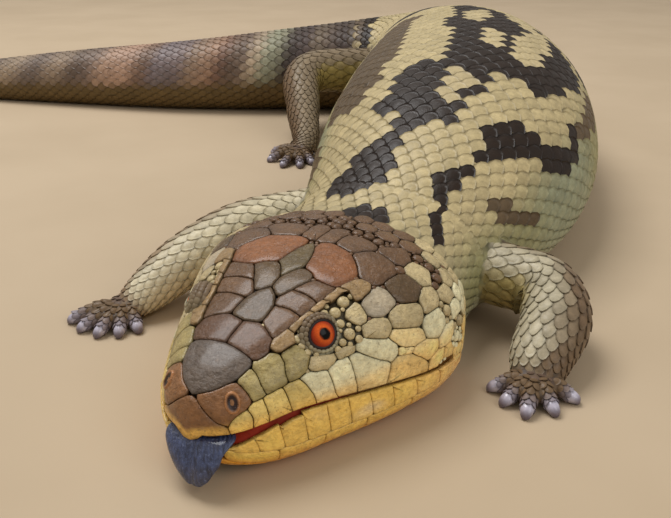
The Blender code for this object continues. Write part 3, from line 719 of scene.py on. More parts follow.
def scale_shapes(surface, start, centre, long, wide, thick, colours, unwrap, sink=COAT, dark=EDGE_SHADE):
    """Overlapping scales on a surface, all in one array.

    Each is a small grid: it starts under the scale before, rises to its full thickness at a rounded free
    edge, bulges across its middle, and is closed below. start and centre are its place on the surface, long
    and wide its size there. sink is how far its base lies under the surface, dark how much painted shade
    darkens its sides. Its tip, its root under the scale before, and its underside get painted shade too.
    """
    count = len(start)
    long, wide, thick = (np.broadcast_to(size, count) for size in (long, wide, thick))
    u, v = np.meshgrid(ACROSS, ALONG, indexing="xy")
    v = v * (1 - 0.34 * np.abs(u) ** 2.4)
    rise = -0.75 + 1.75 * v**0.8 - 0.35 * fade(v, 0.86, 1.02) - 0.45 * u * u
    n = len(ALONG)
    grid = np.arange(n * n).reshape(n, n)
    rim = np.concatenate([grid[0, :-1], grid[:-1, -1], grid[-1, :0:-1], grid[:0:-1, 0]])
    p = start[:, None] + long[:, None] * v.ravel()
    q = centre[:, None] + wide[:, None] * (u * (1 - 0.1 * v * v)).ravel()
    point, normal = with_normals(surface, p, q)
    height = thick[:, None] * rise.ravel() - sink
    top = point + normal * height[..., None]
    under = point[:, rim] + normal[:, rim] * (height[:, rim] - thick[:, None] * 0.45)[..., None]
    points = np.concatenate([top, under], 1)
    each = n * n + len(rim)
    faces = grid_faces(n, n, False)[:, ::-1]
    after = np.roll(np.arange(len(rim)), -1)
    skirt = np.stack([rim, rim[after], n * n + after, n * n + np.arange(len(rim))], -1)
    quads = np.concatenate([faces, skirt])
    offsets = (np.arange(count) * each)[:, None]
    all_quads = (quads[None] + offsets[..., None]).reshape(-1, 4)
    caps = n * n + np.arange(len(rim))[::-1][None] + offsets
    # painted shade: darker at the sides and tip, and darker still at the root, which lies under the scale
    # before
    shade = 1 - dark * fade(np.abs(u), 0.72, 1.0)
    shade = shade - 0.12 * fade(v, 0.9, 1.0) - 0.25 * (1 - fade(v, 0.1, 0.45))
    # painted shade on the underside of each scale
    shade = np.concatenate([shade.ravel(), np.full(len(rim), 0.55)])
    painted = colours[:, None] * shade[None, :, None]
    patch = np.stack([u, 2 * v - 1], -1).reshape(-1, 2)
    patch = np.concatenate([patch, patch[rim]]) * PATCH_SIZE
    patches = (unwrap[:, None] + patch[None]).reshape(-1, 2)
    return points.reshape(-1, 3), all_quads.tolist() + caps.tolist(), painted.reshape(-1, 3), patches


def lattice(rows, around, first=0.0):
    """Places of scales in staggered rows: row number and turn of each."""
    row, column = np.meshgrid(np.arange(rows), np.arange(around), indexing="ij")
    return row.ravel(), ((column + 0.5 * (row % 2)) / around * TAU + first).ravel()


def rows_between(start, end, spacing):
    """Distances of the rows from start to end, where spacing is a table of distance and gap between rows."""
    at = np.linspace(start, end, 400)
    count = np.concatenate([[0], np.cumsum(np.diff(at) / smooth_table(at, spacing)[:-1, 0])])
    return np.interp(np.arange(int(count[-1]) + 1), count, at)


# distance, gap between rows of scales
ROW_GAP = [
    (0, 2.2), (30, 2.2), (50, 2.5), (75, 2.8), (120, 3.3), (230, 3.4), (290, 3.1), (400, 2.8), (470, 2.3),
    (523, 1.5),
]
# Zones of the body's scales: name, first and last distance, how many scales go round
ZONES = [
    ("nape", 4, 62, 42), ("neck", 62, 118, 42), ("front", 118, 200, 42), ("rear", 200, 288, 42),
    ("tail", 288, 400, 28), ("tail_tip", 400, 522, 20),
]


def limb_depth(point):
    """How far inside the nearest limb each point lies, in millimetres."""
    depth = np.full(len(point), -99.0)
    for rows in LIMBS.values():
        at = along_rows(rows, np.linspace(0.8, 4.6, 40))
        gap = at[None, :, 3] - np.linalg.norm(point[:, None] - at[None, :, :3], axis=-1)
        depth = np.maximum(depth, gap.max(1))
    return depth


def body_depth(point):
    """How far inside the body's outline each point lies, as a share of the way to the middle line."""
    at = np.linspace(HEAD_END, 400, 350)
    half, top, _, wide = outline_at(at)
    line = np.stack([np.interp(at, STEPS, LINE_X), np.interp(at, STEPS, LINE_Y)], -1)
    away = np.linalg.norm(point[:, None, :2] - line[None], axis=-1)
    near = away.argmin(1)
    high = np.where(point[:, 2] > wide[near], (point[:, 2] - wide[near]) / (top[near] - wide[near]), 0)
    return 1 - np.sqrt((away.min(1) / half[near]) ** 2 + high**2)


def body_scales(start, end, around):
    """The scales of one zone of the body, without those that a limb covers."""
    at = rows_between(start, end, ROW_GAP)
    row, turn = lattice(len(at), around, 0.5 * np.pi)
    distance = at[row]
    gap = smooth_table(distance, ROW_GAP)[:, 0]
    _, side = side_angle(np.degrees(turn))
    keep = limb_depth(hide(distance + gap, turn)) < 1.0
    keep &= distance + 0.5 * gap > smooth_table(side, PLATES_END)[:, 0]
    distance, turn, gap = distance[keep], turn[keep], gap[keep]
    colours = body_colour(distance + 1.2 * gap, turn) * RANDOM.uniform(0.9, 1.1, (len(turn), 1))
    unwrap = on_map(distance, turn)
    wide = 0.54 * TAU / around
    thick = 0.6 * np.clip(gap / 3.2, 0.5, 1.0) * (1.35 - 0.35 * fade(distance, 50, 75))
    # the nape's scales get more painted shade at their sides
    dark = NAPE_EDGE_SHADE if start < HEAD_END else EDGE_SHADE
    start = distance - 0.2 * gap
    return scale_shapes(hide, start, turn, 2.25 * gap, wide, thick, colours, unwrap, COAT, dark)


def limb_scales(number, rows):
    """The scales of one limb and its toes, pointing to the claws."""
    surface = limb_surface(rows)
    length = np.linalg.norm(np.diff(along_rows(rows, np.linspace(0, 5, 60))[:, :3], axis=0), axis=1).sum()
    at = np.arange(0.3, 4.95, 2.5 / length * 5)
    row, turn = lattice(len(at), LIMB_AROUND)
    t = at[row]
    step = at[1] - at[0]
    point = surface(t + step, turn)
    keep = body_depth(point) < 0.06
    t, turn, point = t[keep], turn[keep], point[keep]
    colours = limb_colour(number, t, turn) * RANDOM.uniform(0.9, 1.1, (len(t), 1))
    unwrap = np.stack([0.01 + 0.24 * number + 0.22 * t / 5, 0.64 + 0.2 * (turn % TAU) / TAU], -1)
    wide = 0.54 * TAU / LIMB_AROUND
    start = t - 0.2 * step
    shapes = [scale_shapes(surface, start, turn, 2.2 * step, wide, 0.5, colours, unwrap, LIMB_COAT)]
    shapes.append(palm_scales(number, rows))
    for toe, tip in enumerate(TOE_TIPS[list(LIMBS)[number]]):
        path, _ = toe_rows(rows, tip)
        at = np.linspace(0.55, 1.78, 5)
        row, turn = lattice(len(at), TOE_AROUND, 0.5 * np.pi)
        t = at[row]
        shade = fade(t, 1.2, 1.8)[:, None]
        colours = LIMB_BROWN + (TOE_TIP - LIMB_BROWN) * shade
        across = 0.01 + 0.24 * number + 0.04 * toe + 0.03 * t / 2
        unwrap = np.stack([across, 0.86 + 0.1 * (turn % TAU) / TAU], -1)
        wide = 0.56 * TAU / TOE_AROUND
        surface = limb_surface(path)
        shapes.append(scale_shapes(surface, t - 0.05, turn, 0.52, wide, 0.38, colours, unwrap, TOE_COAT))
    return shapes


def palm_scales(number, rows):
    """Scales over the back of a palm or sole, an ellipsoid carried along the way to the middle toe."""
    x, y, z, half_width, half_height = rows[-1]
    ahead = unit(np.mean(TOE_TIPS[list(LIMBS)[number]], axis=0) - (x, y))
    s = np.linspace(-0.75, 0.93, 6)
    level = np.sqrt(1 - s * s)
    path = np.stack([
        x + ahead[0] * half_width * s, y + ahead[1] * half_width * s, np.full(6, z),
        half_width * level, half_height * level,
    ], -1)
    row, turn = lattice(5, PALM_AROUND)
    t = 0.35 + row * 0.85
    keep = np.sin(turn) > -0.35
    t, turn = t[keep], turn[keep]
    colours = PALM_BROWN * RANDOM.uniform(0.85, 1.12, (len(t), 1))
    unwrap = np.stack([0.2 + 0.24 * number + 0.008 * t, 0.86 + 0.1 * (turn % TAU) / TAU], -1)
    wide = 0.55 * TAU / PALM_AROUND
    return scale_shapes(limb_surface(path), t - 0.2, turn, 1.5, wide, 0.45, colours, unwrap, 0.45)


def gather(shapes):
    """Joins shapes of points, faces, colours and patches.

    Heights below LOW are drawn together exponentially: what presses on the floor flattens but stays above it.
    """
    points, faces = join([shape[:2] for shape in shapes])
    height = points[:, 2]
    points[:, 2] = np.where(height < LOW, LOW * np.exp(np.minimum(height / LOW - 1, 0)), height)
    return points, faces, np.vstack([s[2] for s in shapes]), np.vstack([s[3] for s in shapes])


# Head


def outline_level(local, jaw=False):
    """How far outside the outline each local point is: below zero inside it, zero on it."""
    distance, lateral, z = np.moveaxis(local, -1, 0)
    half, top, bottom, wide = outline_at(distance)
    above, below = squareness(distance)
    lateral = np.abs(lateral)
    if jaw:
        lateral = lateral - jaw_flare(distance) * np.clip(lateral / 8, 0, 1)
    rise = np.where(z >= wide, (z - wide) / (top - wide), (wide - z) / (wide - bottom + UNDERSIDE_SINK))
    power = np.where(z >= wide, above, below)
    level = (lateral / half) ** power + np.abs(rise) ** power - 1
    return np.maximum(level, -distance / 0.3)


def onto_head(local, jaw=False):
    """Moves local points along rays from the head's core until they lie on its outline, found by halving."""
    core = np.zeros_like(local)
    core[..., 0] = np.maximum(local[..., 0], 9.0)
    core[..., 2] = 10.0
    low, high = np.full(local.shape[:-1], 0.3), np.full(local.shape[:-1], 2.5)
    for _ in range(26):
        middle = (low + high) / 2
        outside = outline_level(core + (local - core) * middle[..., None], jaw) > 0
        low, high = np.where(outside, low, middle), np.where(outside, middle, high)
    return core + (local - core) * low[..., None]


def head_normal(local, jaw=False):
    """Outward normals in local directions, from the slope of the outline's level."""
    steps = 0.05 * np.eye(3)
    slope = np.stack([outline_level(local + e, jaw) - outline_level(local - e, jaw) for e in steps], -1)
    return slope / (np.linalg.norm(slope, axis=-1, keepdims=True) + 1e-12)


def outward(points, faces):
    """Turns every face round when the closed shape's volume comes out negative."""
    fans = [(face[0], face[i], face[i + 1]) for face in faces for i in range(1, len(face) - 1)]
    a, b, c = (points[np.array(fans)[:, k]] for k in range(3))
    return [face[::-1] for face in faces] if np.einsum("ij,ij->i", a, np.cross(b, c)).sum() < 0 else faces


def domed(rings):
    """A closed solid through rings of points that end in one point at the middle of the last ring."""
    rings = np.asarray(rings, float)
    count, around = rings.shape[:2]
    points = np.vstack([rings.reshape(-1, 3), rings[-1].mean(0)[None]])
    faces = grid_faces(count, around, True).tolist()
    last = (count - 1) * around
    faces += [[last + i, count * around, last + (i + 1) % around] for i in range(around)]
    faces.append(list(range(around)))
    return points, outward(points, faces)


# points round a plate, how far off it looks for neighbours, and how often its edge is moved
PLATE_POINTS = 42
PLATE_REACH = 1.7
PLATE_ROUNDS = 9
# edges this close to the lips, in height, are set on them: upper and lower
LIP_STRIP = 0.5
JAW_STRIP = 0.32
# share of the way out from the middle, height over the outline, brightness: painted shade where the plate
# dips into its groove, and a little painted light at its middle
PLATE_RINGS = [
    (1.0, -0.8, 0.3), (1.0, -0.3, 0.42), (0.985, -0.1, 0.62), (0.95, 0.0, 0.82), (0.84, 0.06, 0.97),
    (0.55, 0.1, 1.04), (0.25, 0.11, 1.06),
]


def lip_line(distance, jaw):
    """Height of the plates' edge along a lip: just under the upper lip, and for the jaw below the gap."""
    line = upper_lip(distance) - 0.05
    if jaw:
        part = 1 - fade(distance, 5, 11)
        line = line - 0.25 - lip_gap(distance) * part + 0.2 * part
    return line


def plate_edges(outlines, jaw, groove):
    """Local points round each plate. Each edge is spread evenly, then drawn to its neighbours in small steps.

    A point heads for the nearest point of another plate by half of what lies between them beyond the groove,
    then a little towards the points beside it. Points close to the lips stay on the lip's line, and points
    that pass it are set back on it.
    """
    edges = []
    for corners in outlines:
        closed = np.vstack([corners, corners[:1]]).astype(float)
        local = hide_local(closed[:, 0], np.radians(closed[:, 1]), jaw)
        reach = np.linalg.norm(np.diff(local, axis=0), axis=1)
        length = np.concatenate([[0], np.cumsum(reach)])
        at = np.linspace(0, length[-1], PLATE_POINTS, endpoint=False)
        line = np.stack([np.interp(at, length, closed[:, k]) for k in (0, 1)], -1)
        edges.append(hide_local(line[:, 0], np.radians(line[:, 1]), jaw))
    edges = np.array(edges)
    count = len(edges)
    on_lip = np.abs(edges[..., 2] - lip_line(edges[..., 0], jaw)) < (JAW_STRIP if jaw else LIP_STRIP)
    on_lip &= (np.abs(edges[..., 1]) > LIPS_MIDDLE) & (edges[..., 0] < LIPS_END)
    own = np.repeat(np.arange(count), PLATE_POINTS)
    for _ in range(PLATE_ROUNDS):
        flat = edges.reshape(-1, 3)
        square = (flat**2).sum(1)
        gap = square[:, None] + square[None] - 2 * flat @ flat.T
        gap[own[:, None] == own[None]] = 1e9
        away = flat[gap.argmin(1)] - flat
        gap = np.linalg.norm(away, axis=1)
        out = flat - np.repeat(edges.mean(1), PLATE_POINTS, axis=0)
        outside = (away * out).sum(1) > 0
        step = np.where(outside, gap - groove, gap + groove) / 2
        step = step * (gap < np.where(outside, PLATE_REACH, 1.0))
        edges = (flat + away / (gap[:, None] + 1e-9) * step[:, None] * 0.8).reshape(count, -1, 3)
        beside = np.roll(edges, 1, 1) + np.roll(edges, -1, 1)
        edges = np.where(on_lip[..., None], edges, 0.9 * edges + 0.05 * beside)
        distance = edges[..., 0]
        line = lip_line(distance, jaw)
        past = edges[..., 2] > line if jaw else edges[..., 2] < line
        past &= (distance < LIPS_END) & (np.abs(edges[..., 1]) > LIPS_MIDDLE)
        snapped = hide_local(distance, lip_turn(distance, line), jaw)
        snapped[..., 1] *= np.sign(edges[..., 1])
        edges = np.where((on_lip | past)[..., None], snapped, edges)
    return edges


def cheek_cells(outlines):
    """Rounded cells in staggered rows over cheeks and temples, wherever they lie clear of the outlines."""
    first, last, step = CHEEK_TURNS
    round_cell = circle(CHEEK_POINTS)
    cells = []
    for row, distance in enumerate(CHEEK_ROWS):
        for turn in np.arange(first + 0.5 * step * (row % 2), last, step):
            for mirror in (False, True):
                t = 180 - turn if mirror else turn
                x = distance + CHEEK_SIZE[0] * np.cos(round_cell) + 0.6 * np.sin(turn)
                y = t + CHEEK_SIZE[1] * np.sin(round_cell)
                x, y = np.append(x, distance), np.append(y, t)
                if any(inside(x, y, corners).any() for corners in outlines):
                    continue
                if distance - 1.2 < LIPS_END and turn < 4:
                    continue
                kind = "peach" if turn < 8 else "cream" if turn < 26 else "khaki" if turn < 52 else "umber"
                cells.append((kind, list(zip(x[:-1], y[:-1]))))
    return cells


def turn_of(local):
    """The turn in degrees of local points on the outline, from -90 to 270."""
    half, top, bottom, wide = outline_at(local[..., 0])
    rise = np.where(local[..., 2] >= wide, top - wide, wide - bottom + UNDERSIDE_SINK)
    return (np.degrees(np.arctan2((local[..., 2] - wide) / rise, local[..., 1] / half)) + 90) % 360 - 90


def plate(edge, kind, jaw=False):
    """One horny plate of the head: rings shrink from its edge to a slightly domed middle.

    Every ring is set back on the outline of the head and raised along the normals there.
    """
    middle = edge.mean(0)
    share, height, groove_shading = (np.array(PLATE_RINGS)[:, k][:, None, None] for k in range(3))
    local = onto_head(middle + (edge - middle) * share, jaw)
    lift = np.where(height > -0.5, PLATE_LIFT.get(kind, 0.0), 0.0)
    # on the jaw the plates sit lower and their painted groove shade is weaker
    if jaw:
        height, groove_shading = np.where(height > -0.5, height * 0.6 - 0.05, height), 1 - (1 - groove_shading) * 0.55
    local = local + head_normal(local, jaw) * (height + lift)
    points, faces = domed(place(local))
    local = np.vstack([local.reshape(-1, 3), local[-1].mean(0)[None]])
    distance, turn = local[:, 0], turn_of(local)
    painted = plate_colour(kind, distance, turn) * RANDOM.uniform(0.92, 1.08)
    # painted shade darkens the rings that dip into the groove round the plate
    painted = painted * np.append(np.repeat(groove_shading.ravel(), PLATE_POINTS), groove_shading[-1, 0, 0])[:, None]
    spread = local[:, :2] - middle[:2]
    spread = spread / (np.abs(spread).max(0) + 1e-9) * PATCH_SIZE
    return points, faces, painted, on_map(max(middle[0], 0), np.radians(turn[-1])) + spread


def plate_colour(kind, distance, turn):
    """Colour of a plate: its own, with orange creeping up from the lips, and yellow to orange on the jaw."""
    _, side = side_angle(turn)
    if kind == "jaw":
        base = JAW_FRONT + (JAW_BACK - JAW_FRONT) * fade(distance, 26, 44)[..., None]
        bloom = fade(wave(distance / 3, side / 9, 21), -0.3, 0.6)
        bloom = bloom * fade(distance, 6, 14) * (1 - fade(distance, 30, 36))
        base = base + (JAW_BLOOM - base) * (0.85 * bloom * fade(side, -24, -8))[..., None]
        return base + (JAW_UNDER - base) * (1 - fade(side, -48, -22))[..., None]
    base = np.broadcast_to(colour(*PLATE_COLOURS[kind]), distance.shape + (3,))
    if kind in ("lime", "cream", "peach", "tan"):
        orange = (1 - fade(side, 8, 24 - 6 * fade(distance, 10, 20))) * (0.85 - 0.35 * fade(distance, 12,
                                                                                            26))
        base = base + (LIP_ORANGE - base) * orange[..., None]
    mottle = 1 + 0.12 * wave(distance * 1.1, side / 5, 31)[..., None]
    return base * mottle


def mirrored(corners):
    """The same outline on the animal's right. The crown's middle lies a little to the left of its top."""
    moved = []
    for d, t in corners:
        crown = fade(t, 62, 84)
        snout = fade(t, 20, 60) * (1 - fade(d, 9, 15))
        moved.append((d, 180 - t - 4 * float(max(crown, snout))))
    return moved


def head_plates():
    """The plates of the crown, snout, brows, temples and upper lips."""
    kinds, outlines = ["tan"], [ROSTRAL]
    for kind, both, corners in PLATES:
        for outline in (corners, mirrored(corners))[:1 + both]:
            kinds.append(kind)
            outlines.append(outline)
    for kind, outline in cheek_cells(outlines):
        kinds.append(kind)
        outlines.append(outline)
    edges = plate_edges(outlines, False, GROOVE)
    shapes = [plate(edge, kind) for edge, kind in zip(edges, kinds)]
    return shapes + granules(edges, 1) + granules(edges, -1)


def granules(edges, sign):
    """Small rounded scales in the openings between plates on one side of the head.

    They are set one by one, the widest first, each as wide as the room round it allows.
    """
    first, last, low, high = GRANULE_FIELD
    turns = np.arange(low, high, 1.0) if sign > 0 else 180 - np.arange(low, high, 1.0)
    distance, turn = (a.ravel() for a in np.meshgrid(np.arange(first, last, 0.4), turns))
    local = hide_local(distance, np.radians(turn))
    clear = np.ones(len(distance), bool)
    for edge in edges:
        corners = list(zip(edge[:, 0], turn_of(edge)))
        clear &= ~inside(distance, turn, corners)
    clear &= local[:, 2] > upper_lip(distance) + 0.5
    distance, turn, local = distance[clear], turn[clear], local[clear]
    _, room = nearest(local, edges.reshape(-1, 3))
    eye = np.array([EYE_DISTANCE, sign * EYE_LATERAL, EYE_HEIGHT])
    out = unit(np.array([-EYE_LOOK[0], sign * EYE_LOOK[1], EYE_LOOK[2]]))
    away = local - eye
    away = np.linalg.norm(away - (away @ out)[:, None] * out, axis=1) - EYE_CLEAR
    room = np.minimum(room, away)
    shapes = []
    while len(room) and room.max() > GRANULE_SMALLEST:
        best = room.argmax()
        half = min(room[best], GRANULE_LARGEST, 0.5 + 0.3 * away[best])
        middle, normal = local[best], head_normal(local[best])
        along = unit(np.array([1.0, 0, 0]) - normal[0] * normal)
        side = np.degrees(np.arcsin(np.clip((middle[2] - 10) / 16, -1, 1)))
        close = np.linalg.norm(middle - eye) < 9
        kind = "cream" if side < 14 else "khaki" if side < 40 or close else "umber"
        shade = colour(*PLATE_COLOURS[kind]) * RANDOM.uniform(0.8, 1.05)
        points, faces, painted, patch = bead(
            middle + normal * (-0.15 - 0.2 * half), normal, along, (half, half, 0.62 * half), shade,
            on_map(distance[best], np.radians(turn[best])),
        )
        points = place(points)
        shapes.append((points, outward(points, faces), painted, patch))
        room = np.minimum(room, np.linalg.norm(local - middle, axis=1) - half * 0.98)
    return shapes


def jaw_plates():
    """The plates along the lower lips, with rows of larger ones under the chin."""
    seams = np.array(JAW_SEAMS)
    lip = upper_lip(seams) - lip_gap(seams) + 0.1
    top = np.degrees(lip_turn(seams, lip))
    outlines = []
    for k in range(len(seams) - 1):
        first, last = seams[k], seams[k + 1]
        middle = ((first + last) / 2, (top[k] + top[k + 1]) / 2)
        outlines.append([
            (first, top[k]), middle, (last, top[k + 1]), (last + 0.5, -12), (last + 0.9, JAW_ROWS[0]),
            (first + 0.9, JAW_ROWS[0]), (first + 0.5, -12),
        ])
    ends = [*seams[::2], 45.0, 50.0]
    for high, low in zip(JAW_ROWS[:-1], JAW_ROWS[1:]):
        for first, last in zip(ends[:-1], ends[1:]):
            middle = (first + last) / 2
            outlines.append([
                (first, high), (middle, high), (last, high), (last + 1, low), (first + 1, low),
            ])
    outlines += [[(d, 180 - t) for d, t in outline] for outline in outlines]
    return [plate(edge, "jaw", True) for edge in plate_edges([MENTAL] + outlines, True, JAW_GROOVE)]


def unit(vector):
    """The same direction with length one."""
    return vector / np.linalg.norm(vector, axis=-1, keepdims=True)


def eye_frame(sign):
    """Centre of an eye and its outward, forward and upward directions."""
    centre = place((EYE_DISTANCE, sign * EYE_LATERAL, EYE_HEIGHT))
    angle = np.interp(EYE_DISTANCE, STEPS, ANGLES)
    ahead = -np.array([np.cos(angle), np.sin(angle), 0])
    left = sign * np.array([np.sin(angle), -np.cos(angle), 0])
    out = unit(EYE_LOOK[0] * ahead + EYE_LOOK[1] * left + EYE_LOOK[2] * np.array([0, 0, 1.0]))
    front = unit(ahead - ahead @ out * out)
    top = np.cross(out, front)
    return centre, out, front, top * np.sign(top[2])


def on_eye(frame, away, around, radius):
    """Points round an eye: away from its axis, around it from the front over the top, at a radius."""
    centre, out, front, top = frame
    away, around, radius = np.broadcast_arrays(away, around, radius)
    level = np.cos(around)[..., None] * front + np.sin(around)[..., None] * top
    return centre + radius[..., None] * (np.cos(away)[..., None] * out + np.sin(away)[..., None] * level)


def lid_opening(around, sign):
    """Angle from the eye's axis to the edge of the lids: a superellipse, pointed before and behind."""
    long, tall = np.radians(OPENING[sign])
    ahead, up = np.abs(np.cos(around)) / long, np.abs(np.sin(around)) / tall
    return (ahead**OPENING_POWER + up**OPENING_POWER) ** (-1 / OPENING_POWER)


def eyeball(sign):
    """The ball, a sphere with a clear bulge on its axis: oval black pupil, red streaked iris, dark rim."""
    frame = eye_frame(sign)
    away = np.linspace(0.015, np.pi - 0.015, EYE_GRID[0])[:, None]
    around = circle(EYE_GRID[1])[None]
    radius = EYE_RADIUS - EYE_SUNK + BULGE_HEIGHT * np.exp(-((away / BULGE_SPREAD) ** 2))
    points, faces = loft(on_eye(frame, away, around, radius))
    away, around = (np.broadcast_to(a, EYE_GRID).ravel() for a in (away, around))
    leant = around + PUPIL_LEAN
    oval = np.hypot(away * np.cos(leant) / PUPIL[0], away * np.sin(leant) / PUPIL[1])
    streak = 0.5 + 0.5 * np.sin(around * 23 + 3 * np.sin(around * 7)) * np.sin(around * 41 + 1)
    iris = IRIS_OUTER + (IRIS_INNER - IRIS_OUTER) * (fade(-oval, -2.3, -1.1) * (0.75 + 0.25 * streak))[:,
                                                                                                       None]
    rim = fade(away, 0.56, 0.72)[:, None]
    iris = iris + (EYE_DARK - iris) * rim
    painted = EYE_DARK * 0.05 + (iris - EYE_DARK * 0.05) * fade(oval, 0.92, 1.08)[:, None]
    return points, outward(points, faces), painted


def lids(sign):
    """Both eyelids as one ring round the almond opening, a section carried round it, closed inside."""
    frame = eye_frame(sign)
    around = circle(LID_AROUND)[None]
    section = np.array(LID_SECTION)[:, :, None]
    away = lid_opening(around, sign) + np.radians(section[:, 0])
    points = on_eye(frame, away, around, EYE_RADIUS + section[:, 1])
    grid = np.concatenate([points, points[:1]])
    faces = (grid_faces(len(grid), LID_AROUND, True) % (len(points) * LID_AROUND)).tolist()
    tone = np.clip(section[:, 0] / 30, 0, 1) + 0 * around
    painted = LID_DARK + (LID_BROWN - LID_DARK) * 0.4 * fade(tone.ravel(), 0.05, 0.5)[:, None]
    points = points.reshape(-1, 3)
    return points, outward(points, faces), painted, np.full((len(points), 2), 0.05)


def bead(centre, out, along, size, shade, place_on_map):
    """A small rounded scale: a flattened ball of rings from under it to its crown."""
    across = np.cross(out, along)
    around = circle(BEAD_AROUND)[:, None]
    rings = []
    for rise in BEAD_RISES:
        level = np.sqrt(1 - rise * rise)
        oval = np.cos(around) * along * size[0] + np.sin(around) * across * size[1]
        rings.append(centre + out * rise * size[2] + level * oval)
    points, faces = domed(rings)
    # painted shade: the rings low on the bead are darker
    tone = np.append(np.repeat(BEAD_SHADING, BEAD_AROUND), BEAD_SHADING[-1])[:, None]
    spread = np.tile(np.stack([np.cos(around), np.sin(around)], -1)[:, 0], (len(BEAD_RISES), 1))
    spread = np.append(spread, [[0, 0]], 0) * PATCH_SIZE
    return points, faces, shade * tone, np.array(place_on_map) + spread


def lid_beads(sign):
    """Rings of small scales over the lids, larger outwards."""
    frame = eye_frame(sign)
    shapes = []
    for ring, (beyond, height, count, size) in enumerate(BEAD_RINGS):
        for k in range(count):
            around = (k + 0.5 * (ring % 2)) / count * TAU
            if sign > 0 and ring > 1 and np.sin(around) > 0.45:
                continue
            away = lid_opening(np.array([around, around + 0.02]), sign) + np.radians(beyond)
            centre, after = on_eye(frame, away, np.array([around, around + 0.02]), EYE_RADIUS + height)
            out = unit(centre - frame[0])
            along = unit(after - centre)
            along = unit(along - along @ out * out)
            low = 0.5 - 0.5 * np.sin(around)
            shade = LID_BROWN + (LID_PALE - LID_BROWN) * low * RANDOM.uniform(0.7, 1.25)
            spot = (0.05 + 0.002 * ring, 0.2 + 0.3 * (sign < 0) + 0.003 * k)
            shapes.append(bead(centre, out, along, (size * 0.52, size * 0.42, size * 0.3), shade, spot))
    return shapes


def nostril(sign):
    """A raised rim round a pit painted dark as shade: ellipses about the nostril's middle, out of the plate
    and back in.
    """
    middle = hide_local(NOSTRIL[0], np.radians(NOSTRIL[1]))
    normal = head_normal(middle)
    along = unit(np.array([1.0, 0, 0]) - normal[0] * normal)
    up = np.cross(normal, along)
    up *= np.sign(up[2])
    around = circle(NOSTRIL_AROUND)[:, None]
    rings = []
    for wide, tall, height in NOSTRIL_RINGS:
        flat = middle + wide * np.cos(around) * along + tall * np.sin(around) * up
        flat = onto_head(flat + 0.25 * tall * np.sin(around + 0.35) * along)
        rings.append(flat + head_normal(flat) * height)
    rings = np.array(rings) * np.array([1, sign, 1])
    points, faces = domed(place(rings))
    # painted shade fills the pit, which is only a shallow dish
    tone = np.array(NOSTRIL_PIT_SHADING)[:, None]
    painted = np.repeat(NOSTRIL_RIM + (NOSTRIL_PIT_SHADE - NOSTRIL_RIM) * tone, NOSTRIL_AROUND, axis=0)
    painted = np.vstack([painted, NOSTRIL_PIT_SHADE[None]])
    return points, faces, painted, np.full((len(points), 2), 0.03)


def tongue_shape():
    """The tongue: a flat oval section carried square to its curve, with a shallow groove along one face."""
    t = np.linspace(0, len(TONGUE) - 1, 60)
    at, before, after = along_rows(TONGUE, t), along_rows(TONGUE, t - 0.01), along_rows(TONGUE, t + 0.01)
    run, rise = after[:, 0] - before[:, 0], after[:, 2] - before[:, 2]
    slope = np.stack([-rise, run], -1) / np.hypot(run, rise)[:, None]
    around = circle(36)[None]
    groove = 1 - 0.35 * np.exp(-((np.cos(around) / 0.22) ** 2)) * (np.sin(around) < 0)
    out = at[:, 4:5] * np.sin(around) * groove
    local = np.stack([
        at[:, 0:1] + out * slope[:, 0:1], at[:, 1:2] + at[:, 3:4] * np.cos(around),
        at[:, 2:3] + out * slope[:, 1:2],
    ], -1)
    points, faces = loft(place(local))
    return points, outward(points, faces)


def claw(rows, tip):
    """A blunt claw: round sections shrinking along a line that dips to the floor."""
    path, ahead = toe_rows(rows, tip)
    base = np.array(path[-1][:2])
    u = np.linspace(0, 1, 9)[:, None]
    around = circle(12)[None]
    radius = 0.5 + 0.8 * np.sqrt(1 - u * u)
    side = np.array([-ahead[1], ahead[0]])
    along = base + ahead * (CLAW_LENGTH * u - 0.2)
    level = along[:, None] + (radius * np.cos(around))[..., None] * side
    height = 1.45 - 0.75 * u * u + radius * np.sin(around)
    points, faces = loft(np.concatenate([level, np.maximum(height, 0.02)[..., None]], -1))
    shade = CLAW_PALE + (CLAW_DARK - CLAW_PALE) * fade(u - 0.15 * np.sin(around), 0.45, 1.0).reshape(-1, 1)
    return points, outward(points, faces), shade


# Materials


